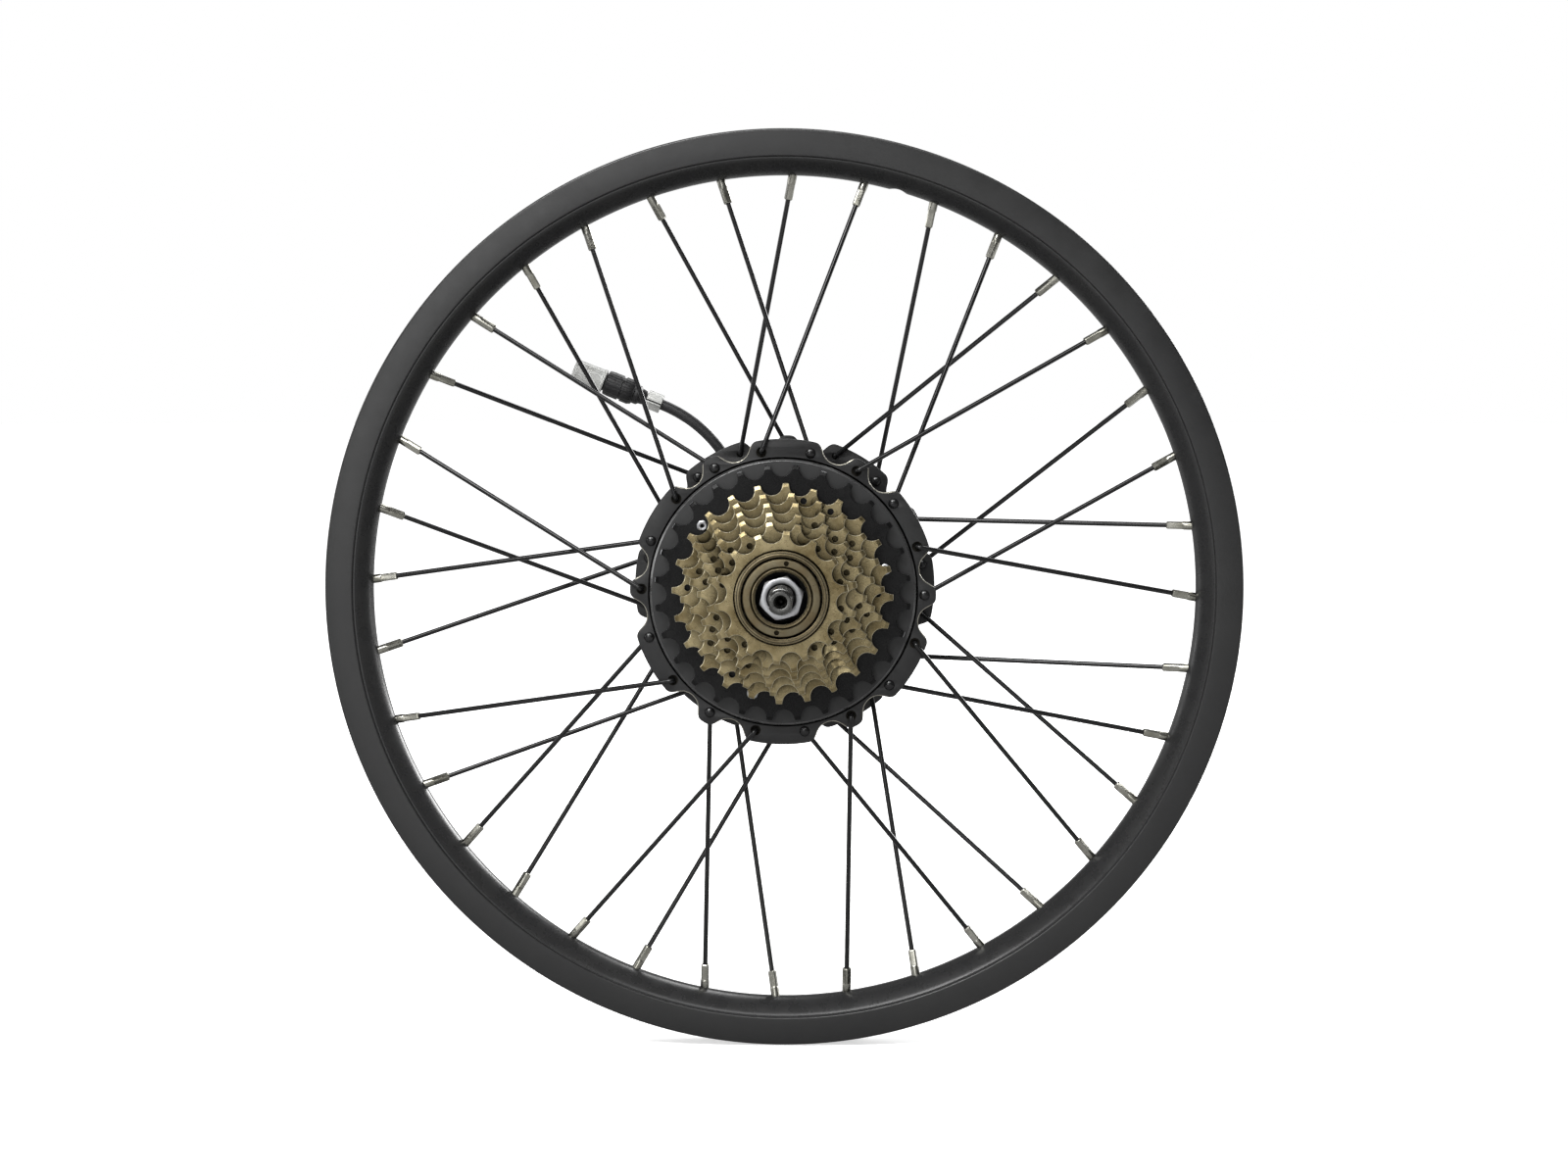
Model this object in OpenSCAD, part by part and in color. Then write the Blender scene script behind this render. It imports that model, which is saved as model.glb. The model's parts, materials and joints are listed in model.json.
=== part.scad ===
// Geared hub motor laced into a double-wall rim, with a seven-speed screw-on
// freewheel on one side and a six-bolt disc mount on the other.
// The axle lies along Y with the freewheel towards -Y, and Z is up.

/* [Wheel] */
// outside diameter of the rim
rim_d = 420; // [420:1:424]
// width of the rim over its two side walls
rim_w = 25; // [24:0.5:28]
// bead seat diameter of the tyre
bead_d = 406; // [405:0.5:406]
// distance of the crest of the spoke bed from the wheel axis
bed_r = 188.9; // [188:0.1:189.5]
// angle of the valve hole, clockwise from the top on the freewheel side
valve_a = 16; // [13:0.5:19]
// diameter of the valve hole
valve_d = 8.5; // [6.5:0.1:8.8]

/* [Spokes] */
// diameter of a spoke
spoke_d = 2.2; // [2:0.1:2.3]
// number of spokes on each flange (laced in pairs)
spokes_per_side = 18; // [18:18:18]
// how far round the rim each spoke leans, in degrees
spoke_lean = 20; // [19:0.5:21]
// diameter of the circle the spoke holes lie on
spoke_pcd = 128.4; // [127.5:0.1:129]
// diameter of a nipple shank
nipple_d = 4; // [3.8:0.1:4.2]
// visible length of a nipple below the rim
nipple_l = 11.3; // [9:0.1:13]

/* [Hub] */
// over-locknut distance, between the two frame dropouts
old = 135; // [135:1:136]
// total length of the axle
axle_l = 180; // [176:1:196]
// width across the flats at each axle end
axle_flats = 10; // [9.5:0.1:10.5]
// position of the freewheel side flange from the wheel centre
flange_drive = 25; // [24.8:0.1:25.2]
// position of the brake side flange from the wheel centre
flange_brake = -21; // [-21.2:0.1:-20.8]
// thickness of each flange
flange_t = 3.2; // [3:0.1:3.3]
// diameter over the flange lobes
flange_d = 139; // [138:0.5:140]
// diameter of the disc brake bolt circle
disc_pcd = 44; // [44:0.1:44.2]

/* [Reduction gear] */
// teeth on the sun gear
n_sun = 21; // [21:1:21]
// teeth on each planet gear
n_planet = 36; // [36:1:36]
// teeth inside the ring gear
n_ring = 93; // [93:1:93]
// tooth backlash at the pitch circle
backlash = 0.14; // [0.1:0.01:0.2]

/* [Freewheel] */
// distance between neighbouring sprockets
cog_pitch = 5; // [4.8:0.1:5]
// position of the largest sprocket from the wheel centre
cog_first = 33; // [33:0.1:33.2]
// thickness of a sprocket
cog_t = 2; // [1.8:0.1:2.2]

/* [Cable] */
// diameter of the motor cable
cable_d = 5; // [4.4:0.1:5.2]
// direction of the cable leaving the axle, left of the top on the freewheel side
cable_a = 26; // [20:1:32]

/* [Hidden] */
$fn = 48;

// colours
black = [0.08, 0.08, 0.085];
satin_black = [0.16, 0.16, 0.17];
gold = [0.62, 0.56, 0.40];
zinc = [0.80, 0.81, 0.82];
steel = [0.62, 0.63, 0.65];
brass = [0.80, 0.74, 0.55];
copper = [0.72, 0.42, 0.22];
nylon = [0.86, 0.84, 0.76];
clear = [0.86, 0.87, 0.86, 0.6];
board_green = [0.06, 0.30, 0.16];
stator_grey = [0.35, 0.36, 0.38];
magnet_grey = [0.45, 0.45, 0.47];
carrier_grey = [0.5, 0.51, 0.53];
gear_grey = [0.52, 0.53, 0.55];
cable_grey = [0.20, 0.20, 0.21];
spacer_brown = [0.28, 0.27, 0.24];

// radial clearances
fit = 0.02;
slip = 0.03;

// ---- shared helpers ----
// everything is drawn round the Z axis with the freewheel side up, then laid
// down so that the axle runs along Y
module lay() rotate([90, 0, 0]) children();

module up(z) translate([0, 0, z]) children();

// turns a child that stands on Z to point along +Y
module outward() rotate([-90, 0, 0]) children();

// a place at angle a (clockwise from the top, from the freewheel side)
module at(a, r) rotate([0, 0, -a]) translate([0, r, 0]) children();

// evenly spaced copies round Z, counterclockwise from the angle first
module around(count, first = 0)
  for (i = [0 : count - 1]) rotate([0, 0, first + i * 360 / count]) children();

module tube(outer_r, inner_r, z0, z1, facets = 96)
  up(z0) difference() {
    cylinder(r = outer_r, h = z1 - z0, $fn = facets);
    up(-1) cylinder(r = inner_r, h = z1 - z0 + 2, $fn = facets);
  }

// a turned solid from a list of [radius, position] points
module lathe(points, facets = 144) rotate_extrude($fn = facets) polygon(points);

// ---- axle, locknut and spacer ----
face_z = old / 2;              // dropout face
axle_r = 6;
axle_fit_r = axle_r + fit;     // bore of a part that sits on the axle
thick_r = 8.5;                 // thick part of the axle, on the brake side
thick_end = -5.2;
cable_z = -59;                 // where the cable enters the axle
lead_z = -35.2;                // where the leads leave it, inside the hub
way_r = 3;                     // radius of the cable way
nut_h = 6.5;
nut_flats = 18;
nut_z = face_z - nut_h;

module axle() color(steel) lay() difference() {
  union() {
    up(-axle_l / 2) cylinder(r = axle_r, h = axle_l, $fn = 72);
    up(-face_z) cylinder(r = thick_r, h = face_z + thick_end, $fn = 96);
  }
  // wrench and dropout flats on both ends
  for (side = [-1, 1], end = [-1, 1])
    translate([side * (axle_flats / 2 + 2.5), 0, end * (face_z + 15.01)])
      cube([5, 20, 30], center = true);
  // centre-drilled ends with chamfers
  for (end = [0, 1]) mirror([0, 0, end]) {
    up(axle_l / 2 - 7) cylinder(r = 2.1, h = 8, $fn = 48);
    up(axle_l / 2) lathe([[4.9, 0.1], [7, 0.1], [7, -2.3]], 72);
  }
  // cable way: in from the side near the brake dropout, out inside the hub
  up(cable_z - 3.2) cylinder(r = way_r, h = 29.6, $fn = 48);
  up(cable_z) rotate([0, 0, cable_a]) outward()
    cylinder(r = way_r, h = 12, $fn = 48);
  up(lead_z) outward() cylinder(r = 1.9, h = 12, $fn = 32);
}

module locknut() color(zinc) lay() up(nut_z) rotate([0, 0, 15.5])
  intersection() {
    difference() {
      cylinder(r = nut_flats / 2 / cos(30), h = nut_h, $fn = 6);
      up(-1) cylinder(r = axle_fit_r, h = 9, $fn = 72);
      // chamfer of the bore
      up(nut_h) lathe([[0, 0.1], [6.7, 0.1], [6, -0.65], [0, -0.65]], 72);
    }
    // bevel of the outer corners
    lathe([[0, 0], [10.5, 0], [10.5, 5.7], [9.3, nut_h], [0, nut_h]], 96);
  }

module spacer() color(black) lay()
  tube(7.9, axle_fit_r, drive_z + drive_bearing[2] / 2, nut_z, 72);

// ---- bearings ----
// [ball circle radius, ball radius, width, number of balls]
drive_bearing = [10, 2.3, 8, 9];
brake_bearing = [13, 2.4, 10, 11];
rotor_bearing = [8.25, 1.2, 5, 12];
// middle of each bearing
drive_z = 37;
brake_z = -43.2;
rotor_zs = [-2.5, 3];
// housing bores
drive_seat_r = 14;
brake_seat_r = 17.5;
rotor_seat_r = 10.5;

module race(inner_r, outer_r, bearing, z)
  rotate_extrude($fn = 96) difference() {
    translate([inner_r, z - bearing[2] / 2])
      square([outer_r - inner_r, bearing[2]]);
    translate([bearing[0], z]) circle(r = bearing[1] + 0.05, $fn = 48);
  }

module ball_row(circle_r, ball_r, z, count)
  around(count) translate([circle_r, 0, z]) sphere(r = ball_r, $fn = 32);

// outer race with its balls
module outer_race(inner_r, seat_r, bearing, z) {
  race(inner_r, seat_r - fit, bearing, z);
  ball_row(bearing[0], bearing[1], z, bearing[3]);
}

module bearing_inner_drive() color(steel) lay()
  race(axle_fit_r, 8.5, drive_bearing, drive_z);
module bearing_outer_drive() color(steel) lay()
  outer_race(11.5, drive_seat_r, drive_bearing, drive_z);
module bearing_inner_brake() color(steel) lay()
  race(thick_r + fit, 11.4, brake_bearing, brake_z);
module bearing_outer_brake() color(steel) lay()
  outer_race(14.6, brake_seat_r, brake_bearing, brake_z);
module rotor_bearing_inner() color(steel) lay()
  for (z = rotor_zs) race(axle_fit_r, 7.5, rotor_bearing, z);
module rotor_bearing_outer() color(steel) lay()
  for (z = rotor_zs) outer_race(9, rotor_seat_r, rotor_bearing, z);

// ---- stator ----
stator_z = -18;                // middle of the stator and the magnets
stack_l = 20;
slots = 18;
pole_w = 3.6;

module stator_core() color(stator_grey) lay()
  up(stator_z - stack_l / 2) linear_extrude(stack_l) {
    difference() {
      circle(r = 22, $fn = 96);
      circle(r = thick_r + fit, $fn = 96);
    }
    around(slots) translate([-pole_w / 2, 21]) square([pole_w, 18]);
    // pole faces, parted by narrow slots
    difference() {
      circle(r = 40.4, $fn = 144);
      circle(r = 38.3, $fn = 144);
      around(slots, 180 / slots) translate([-0.8, 36]) square([1.6, 8]);
    }
  }

module windings() color(copper) lay()
  around(slots) translate([0, 30, stator_z]) difference() {
    cube([7.6, 14, 27], center = true);
    cube([pole_w + 0.2, 16, stack_l + 0.2], center = true);
  }

module hall_board() color(board_green) lay() difference() {
  tube(34, 18, -33.6, -32);
  for (i = [0 : 2]) at(60 + i * 120, 26) up(-35)
    cylinder(r = 1.6, h = 4, $fn = 32);
}

// ---- roller clutch and planet carrier ----
sun_r = n_sun / 2;
planet_r = n_planet / 2;
ring_r = n_ring / 2;
orbit = sun_r + planet_r;
rollers = 8;
roller_a = 22.5;
cam_z = 17;
carrier_z = 17.1;
carrier_end = 24;
carrier_bore = 15;
pin_r = 4;
function planet_a(k) = 90 + 120 * k;

module clutch_cam() color(steel) lay() up(cam_z)
  linear_extrude(carrier_end - cam_z) difference() {
    circle(r = 11.2, $fn = 96);
    circle(r = axle_fit_r, $fn = 96);
    // ramps for the rollers
    around(rollers, roller_a) translate([-2.6, 10.9]) square([5.2, 2]);
  }

module clutch_rollers() color(steel) lay()
  around(rollers, roller_a) translate([0, 12.95, 17.2])
    cylinder(r = 2, h = 6.6, $fn = 32);

module at_planets(z) for (k = [0 : 2])
  rotate([0, 0, planet_a(k)]) translate([orbit, 0, z]) children();

module planet_carrier() color(carrier_grey) lay() difference() {
  union() {
    tube(19, carrier_bore, carrier_z, carrier_end);
    tube(36, carrier_bore, carrier_z, 21, 144);
  }
  at_planets(16) cylinder(r = pin_r + fit, h = 8, $fn = 48);
}

module planet_pins() color(steel) lay()
  at_planets(5) cylinder(r = pin_r, h = 16, $fn = 48);

// ---- cable and plug ----
cable_r = cable_d / 2;
joint_r = cable_r + 0.05;      // spheres that join the cable runs
sleeve_r = cable_r + slip;     // bore of a part on the cable
run_l = 57;                    // straight radial run
// bend that carries the cable from its radial run to the plug's heading
bend_r = 64;
bend_a = 42;
plug_a = cable_a + bend_a;
plug_x = -run_l * sin(cable_a) + bend_r * (cos(plug_a) - cos(cable_a));
plug_y = run_l * cos(cable_a) + bend_r * (sin(plug_a) - sin(cable_a));
// the plug parts stand on Z from the end of the bend
module plug_axis() translate([plug_x, plug_y, cable_z])
  rotate([0, 0, plug_a]) outward() children();

module cable() color(cable_grey) lay() {
  up(cable_z) {
    sphere(r = joint_r, $fn = 48);
    cylinder(r = cable_r, h = lead_z - cable_z, $fn = 48);
    rotate([0, 0, cable_a]) {
      outward() cylinder(r = cable_r, h = run_l, $fn = 48);
      translate([0, run_l, 0]) sphere(r = joint_r, $fn = 48);
      translate([-bend_r, run_l, 0])
        rotate_extrude(angle = bend_a, $fn = 144) translate([bend_r, 0])
          circle(r = cable_r, $fn = 48);
    }
    translate([plug_x, plug_y, 0]) sphere(r = joint_r, $fn = 48);
  }
  plug_axis() cylinder(r = cable_r, h = 17, $fn = 48);
  // leads out of the axle to the board
  up(lead_z) outward() cylinder(r = 1.4, h = 20, $fn = 32);
}

module cable_grommet() color(black) lay()
  up(cable_z) rotate([0, 0, cable_a]) outward()
    lathe([[sleeve_r, 8.8], [5.2, 8.8], [5, 10.5], [4, 11.5], [4, 18],
           [3.4, 22], [sleeve_r, 22]], 72);

boot_end = 14.2;
module plug_boot() color(black) lay() plug_axis()
  lathe([[sleeve_r, 8.5], [3.3, 8.5], [3.6, 10], [3.6, 11], [4.6, 12],
         [4.6, boot_end], [sleeve_r, boot_end]], 72);

module plug_body() color(black) lay() plug_axis() difference() {
  lathe([[0, boot_end], [5.4, boot_end], [6, 14.8], [6, 19.6], [5.4, 20],
         [5.4, 21], [6, 21.4], [6, 28], [5.4, 28.6], [4.3, 28.6],
         [4.3, 37], [3.9, 37.4], [0, 37.4]], 96);
  up(13) cylinder(r = sleeve_r, h = 5, $fn = 48);
  // contact cavities in the nose
  around(6) translate([2.4, 0, 33]) cylinder(r = 0.6, h = 6, $fn = 24);
}

module plug_cap() color(clear) lay() plug_axis()
  lathe([[4.34, 29.4], [5.6, 29.4], [5.6, 30.4], [5.25, 30.9],
         [5.1, 44.2], [4.6, 45], [0, 45], [0, 44], [4.34, 43.6]], 96);

module cable_clip() color(clear) lay() plug_axis() difference() {
  union() {
    up(0.4) cylinder(r = 4.4, h = 7.4, $fn = 72);
    translate([-1.5, -6.6, 1]) cube([3, 6, 6.2]);
  }
  up(-1) cylinder(r = sleeve_r, h = 11, $fn = 48);
  // slit through the tab
  translate([-0.4, -8, -1]) cube([0.8, 7, 10]);
}

// ---- spoke lacing ----
spoke_r = spoke_d / 2;
hole_r = spoke_pcd / 2;
half_t = flange_t / 2;
spoke_step = 360 / spokes_per_side;
// the first spoke hole of each flange
first_drive = 11.2;
first_brake = 1.2;

// every spoke of a flange (side 1 drive, -1 brake):
// [side, hole angle, true when it runs on the outer face, lean]
function lace(side) = [for (k = [0 : spokes_per_side - 1])
  let (odd = k % 2 == 1)
  [side, (side > 0 ? first_drive : first_brake) + spoke_step * k,
   side > 0 ? odd : !odd, odd ? spoke_lean : -spoke_lean]];
all_spokes = concat(lace(1), lace(-1));

function flange_z(side) = side > 0 ? flange_drive : flange_brake;
function rim_a(spoke) = spoke[1] + spoke[3];
// where the straight run of a spoke starts at the flange and meets the bed
function run_start(spoke) =
  [hole_r * sin(spoke[1]), hole_r * cos(spoke[1]),
   flange_z(spoke[0]) + spoke[0] * (spoke[2] ? half_t + 2.5 : -half_t - 1.25)];
function run_end(spoke) =
  [bed_r * sin(rim_a(spoke)), bed_r * cos(rim_a(spoke)), 0];

// lay a child that stands on Z along a spoke, its origin on the spoke bed
module along(spoke) {
  run = run_end(spoke) - run_start(spoke);
  translate(run_end(spoke))
    rotate([0, acos(run[2] / norm(run)), atan2(run[1], run[0])]) children();
}

module spoke(spoke) {
  start = run_start(spoke);
  run_l = norm(run_end(spoke) - start);
  // direction along Z from the head to the run
  dir = spoke[0] * (spoke[2] ? 1 : -1);
  head_z = flange_z(spoke[0]) - dir * half_t;
  along(spoke) up(-run_l) cylinder(r = spoke_r, h = run_l + 2.6, $fn = 24);
  // elbow, and the stem through the flange
  translate(start) sphere(r = spoke_r + 0.05, $fn = 24);
  translate([start[0], start[1], min(head_z - dir * 0.6, start[2])])
    cylinder(r = spoke_r, h = abs(start[2] - head_z) + 0.6, $fn = 24);
  // flattened head
  translate([start[0], start[1], head_z - dir * 0.02])
    mirror([0, 0, dir > 0 ? 1 : 0])
      lathe([[0, 0], [2.2, 0], [2.3, 0.4], [1.9, 1.1], [1.1, 1.5],
             [0, 1.6]], 32);
}
module spokes_drive() color(black) lay() for (s = lace(1)) spoke(s);
module spokes_brake() color(black) lay() for (s = lace(-1)) spoke(s);

nipple_square = 3.3;           // across the flats of the shank
nipple_head_r = 3;
module nipple(spoke) along(spoke) difference() {
  union() {
    up(-nipple_l) intersection() {
      cylinder(r = nipple_d / 2, h = nipple_l + 4, $fn = 32);
      union() {
        translate([-nipple_square / 2, -nipple_square / 2, 0])
          cube([nipple_square, nipple_square, 8]);
        translate([-3, -3, 7.4]) cube([6, 6, 12]);
      }
    }
    up(3.3) cylinder(r1 = 2.2, r2 = nipple_head_r, h = 0.9, $fn = 32);
    up(4.2) cylinder(r = nipple_head_r, h = 1.6, $fn = 32);
  }
  up(-nipple_l - 1) cylinder(r = spoke_r + fit, h = nipple_l + 8, $fn = 24);
}
module nipples() color(brass) lay() for (s = all_spokes) nipple(s);

// ---- rim ----
rim_r = rim_d / 2;
seat_r = bead_d / 2;
half_w = rim_w / 2;
// half profiles as [radius, distance from the mid plane]
// outside, from the crest of the spoke bed round to the well
rim_half = [
  [bed_r, 0], [bed_r, 3.1], [bed_r + 0.7, 4.2], [bed_r + 1.8, 6.6],
  [bed_r + 3.6, 8.9], [bed_r + 6, 10.8], [bed_r + 8, 11.7],
  [bed_r + 8.5, 11.75], [bed_r + 8.7, half_w - 0.5],
  [bed_r + 9.1, half_w - 0.12], [bed_r + 9.7, half_w], [rim_r - 1, half_w],
  [rim_r - 0.3, half_w - 0.3], [rim_r, half_w - 1],
  [rim_r - 0.3, half_w - 1.7], [rim_r - 1.2, half_w - 2],
  [rim_r - 2.4, half_w - 1.7], [seat_r + 1.4, half_w - 1.5],
  [seat_r + 0.3, half_w - 2], [seat_r - 0.1, half_w - 5],
  [seat_r - 1.6, half_w - 6.2], [seat_r - 3.6, half_w - 6.8],
  [seat_r - 4.2, half_w - 7.8], [seat_r - 4.2, 0]];
// cavity between the two walls
cavity_half = [
  [bed_r + 2, 0], [bed_r + 2, 3.5], [bed_r + 3.3, 5.4], [bed_r + 5.2, 7.9],
  [bed_r + 7.6, 9.8], [bed_r + 9.5, half_w - 2.2],
  [seat_r - 2.2, half_w - 2.4], [seat_r - 2, half_w - 4.6],
  [seat_r - 3.4, half_w - 6.2], [seat_r - 5.8, half_w - 7.2],
  [seat_r - 5.8, 0]];
// the whole profile from a half that starts and ends on the mid plane
function mirrored(half) = concat(half, [for (i = [len(half) - 2 : -1 : 1])
  [half[i][0], -half[i][1]]]);

module rim() color(satin_black) lay() difference() {
  rotate([0, 0, 3.8]) rotate_extrude($fn = 180) difference() {
    polygon(mirrored(rim_half));
    polygon(mirrored(cavity_half));
  }
  // angled nipple holes through the spoke bed
  for (s = all_spokes) along(s) up(-5)
    cylinder(r = nipple_d / 2 + 0.15, h = 9.5, $fn = 32);
  // access holes in the well
  for (s = all_spokes) at(rim_a(s), seat_r - 8) outward()
    cylinder(r = 4, h = 10, $fn = 32);
  // valve hole through both walls
  at(valve_a, bed_r - 6) outward() cylinder(r = valve_d / 2, h = 30, $fn = 48);
}

// ---- hub casing ----
drive_face = flange_drive + half_t;    // end faces of the shell
brake_face = flange_brake - half_t;
flange_r = flange_d / 2;
gear_seat_r = 51;              // bore of the shell round the ring gear
cover_seat_r = 54;             // bore of the shell round the drive cover
cover_r = 60.5;
plate_t = 3.5;                 // rim of the brake side cover
brake_seal_r = 14.5;           // bore of the brake side cover round its seal
boss_r = 17.4;                 // boss the freewheel screws onto
boss_z = 31;
screw_r = 1.5;
screw_head_h = 2.4;

// places of the brake side cover's screws
module at_screws(z) for (i = [0 : 8]) at(11.2 + i * 40, 57.5) up(z) children();

// lobed outline of a flange with its first hole at angle a: three holes out
// of every sixty degrees, two on a wide lobe and one on a narrow lobe
module flange(a) {
  lobe_a = a - spoke_step / 2;
  lobe_step = 3 * spoke_step;
  difference() {
    intersection() {
      // notches on both sides of each wide lobe
      difference() {
        circle(r = flange_r, $fn = 180);
        for (k = [0 : 5], side = [-spoke_step, spoke_step])
          rotate(-(lobe_a + lobe_step * k + side))
            translate([0, 70.2]) circle(r = 7.6, $fn = 72);
      }
      // round lobe ends, filled in between the two holes of a wide lobe
      union() {
        circle(r = 66.3, $fn = 180);
        for (k = [0 : 17]) rotate(-(a + spoke_step * k))
          translate([0, hole_r]) circle(r = flange_r - hole_r + 0.4, $fn = 48);
        for (k = [0 : 5]) rotate(-(lobe_a + lobe_step * k)) polygon([[0, 0],
          [-100 * sin(10), 100 * cos(10)], [100 * sin(10), 100 * cos(10)]]);
      }
    }
    for (k = [0 : 17]) rotate(-(a + spoke_step * k)) translate([0, hole_r])
      circle(r = spoke_r + 0.2, $fn = 32);
  }
}

module hub_shell() color(satin_black) lay() difference() {
  union() {
    up(drive_face - flange_t) linear_extrude(flange_t) flange(first_drive);
    up(brake_face) linear_extrude(flange_t)
      flange(first_brake + 2 * spoke_step);
    lathe([[40, brake_face + 1], [61.75, brake_face + 1],
           [61.75, brake_face + 2.6], [60.5, brake_face + 5.6],
           [57.5, brake_face + 11.6], [56.5, brake_face + 14],
           [56.5, drive_face - 12], [57.5, drive_face - 9.6],
           [60.5, drive_face - 5], [61.83, drive_face - 2.6],
           [61.83, drive_face - 1], [40, drive_face - 1]]);
  }
  up(brake_face - 1) cylinder(r = gear_seat_r, h = 80, $fn = 180);
  up(19) cylinder(r = cover_seat_r, h = 20, $fn = 180);
  // tapped holes for the brake side cover
  at_screws(brake_face - 1) cylinder(r = screw_r + slip, h = 7.4, $fn = 32);
}

module cover_drive() color(satin_black) lay() difference() {
  lathe([[50, 19.2], [cover_seat_r - slip, 19.2],
         [cover_seat_r - slip, drive_face], [cover_r, drive_face],
         [cover_r, drive_face + 1.5], [59.6, drive_face + 2.4],
         [27, drive_face + 2.4], [24.5, drive_face + 3.2],
         [21, drive_face + 3.2], [21, boss_z], [boss_r, boss_z],
         [boss_r, 43.6], [17, 44], [12.6, 44], [12.6, 25.2], [48, 25.2],
         [50, 23.2]]);
  up(drive_z - drive_bearing[2] / 2)
    cylinder(r = drive_seat_r, h = 20, $fn = 96);
}

module cover_brake() color(satin_black) lay() difference() {
  lathe([[51, brake_face - 12.5], [49, brake_face - 14.6],
         [20, brake_face - 14.6], [brake_seal_r, brake_face - 14.6],
         [brake_seal_r, -52.2], [28.4, -52.2], [29, -51.6], [29, -44.5],
         [31, -43.6], [49.5, -41.2], [53.2, -38.6], [54.4, -36],
         [54.4, brake_face - plate_t], [60.1, brake_face - plate_t],
         [cover_r, brake_face - 3.1], [cover_r, brake_face],
         [51, brake_face]]);
  up(brake_z - brake_bearing[2] / 2)
    cylinder(r = brake_seat_r, h = 20, $fn = 96);
  at_screws(-30) cylinder(r = 1.7, h = 12, $fn = 32);
  // tapped holes for the brake disc
  for (i = [0 : 5]) at(i * 60, disc_pcd / 2) up(-53)
    cylinder(r = 2.5, h = 10.8, $fn = 48);
}

module cover_screws() color(steel) lay()
  at_screws(brake_face - plate_t) difference() {
    union() {
      cylinder(r = screw_r, h = 9.4, $fn = 32);
      up(-screw_head_h) cylinder(r = 2.5, h = screw_head_h, $fn = 48);
    }
    // hexagon socket
    up(-screw_head_h - 0.6) cylinder(r = 1.3, h = 2, $fn = 6);
  }

drive_seal_r = drive_seat_r - slip;
module seal_drive() color(black) lay()
  lathe([[drive_seal_r, 41.2], [drive_seal_r, 43.8], [9.2, 43.8],
         [8.05, 43.2], [8.05, 42.8], [9.2, 42.6], [9.6, 41.6], [12.4, 41.6],
         [12.4, 41.2]], 96);
module seal_brake() color(black) lay()
  lathe([[brake_seal_r - slip, -51.8], [brake_seal_r - slip, -48.6],
         [13.2, -48.6], [13.2, -49.8], [9.6, -49.8], [8.62, -50.4],
         [8.62, -50.9], [9.6, -51.8]], 96);

// ---- reduction gear ----
pressure_a = 20;
addendum = 1;
dedendum = 1.25;
// involute of an angle, in degrees
function involute(a) = tan(a) * 180 / PI - a;
// half the angle of a tooth at radius r; half_a is that at the pitch circle
function flank(teeth, r, half_a) =
  let (base_r = teeth / 2 * cos(pressure_a))
  half_a + involute(pressure_a)
    - involute(acos(min(1, base_r / max(r, base_r))));
// one tooth from radius r0 to r1, as [radius, angle] points
function tooth(teeth, r0, r1, half_a, steps) =
  let (radii = [for (i = [0 : steps]) r0 + (r1 - r0) * i / steps])
  [for (r = radii) [r, -flank(teeth, r, half_a)],
   for (i = [steps : -1 : 0]) [radii[i], flank(teeth, radii[i], half_a)]];
// module 1 gear outline, a tooth centred on the angle turn
function gear(teeth, r0, r1, play, turn, steps = 4) =
  let (half_a = 90 / teeth - play / 2 / (teeth / 2) * 180 / PI,
       points = tooth(teeth, r0, r1, half_a, steps))
  [for (k = [0 : teeth - 1]) for (p = points)
    let (a = turn + k * 360 / teeth + p[1]) [p[0] * cos(a), p[0] * sin(a)]];

module ring_gear() color(gear_grey) lay()
  up(5) linear_extrude(12) difference() {
    circle(r = gear_seat_r - slip, $fn = 180);
    polygon(gear(n_ring, ring_r - addendum, ring_r + 1.3, -backlash / 2, 0, 3));
  }

module sun_gear() color(steel) lay()
  up(5.8) linear_extrude(10.8) difference() {
    polygon(gear(n_sun, sun_r - dedendum, sun_r + addendum, backlash / 2, 0));
    circle(r = 7, $fn = 72);
  }

module planet(k) {
  a = planet_a(k);
  // turned to mesh with the ring gear
  turn = a - (a * n_ring % 360) / n_planet;
  color(nylon) lay()
    rotate([0, 0, a]) translate([orbit, 0, 6]) rotate([0, 0, -a])
      linear_extrude(10) difference() {
        polygon(gear(n_planet, planet_r - dedendum, planet_r + addendum,
                     backlash / 2, turn));
        circle(r = pin_r + 0.05, $fn = 48);
        around(6, 30 + turn) translate([10.5, 0]) circle(r = 3, $fn = 32);
      }
}
module planet_1() planet(0);
module planet_2() planet(1);
module planet_3() planet(2);

// ---- rotor ----
bell_r = 44;                   // inside of the rotor bell
magnets_l = 22;

module rotor_bell() color(steel) lay() difference() {
  lathe([[rotor_seat_r, -5], [14, -5], [14, 0], [43, 0], [bell_r, -1],
         [bell_r, -30], [46.5, -30], [46.5, 2.5], [45.5, 3.5], [20, 3.5],
         [16, 5.5], [rotor_seat_r, 5.5]]);
  around(8) translate([32, 0, -1]) cylinder(r = 5, h = 6, $fn = 48);
}

module magnets() color(magnet_grey) lay()
  up(stator_z - magnets_l / 2) linear_extrude(magnets_l) difference() {
    circle(r = bell_r - slip, $fn = 180);
    circle(r = 41, $fn = 180);
    // gaps between the magnets
    around(20) translate([-0.5, 38]) square([1, 10]);
  }

// ---- freewheel ----
// pawls lie folded at rest, their tips pointing against the driving direction
pivot_r = 17.3;
nose_r = 13.4;                 // end of the core that carries the cone
cone_r = nose_r + slip;

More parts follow.
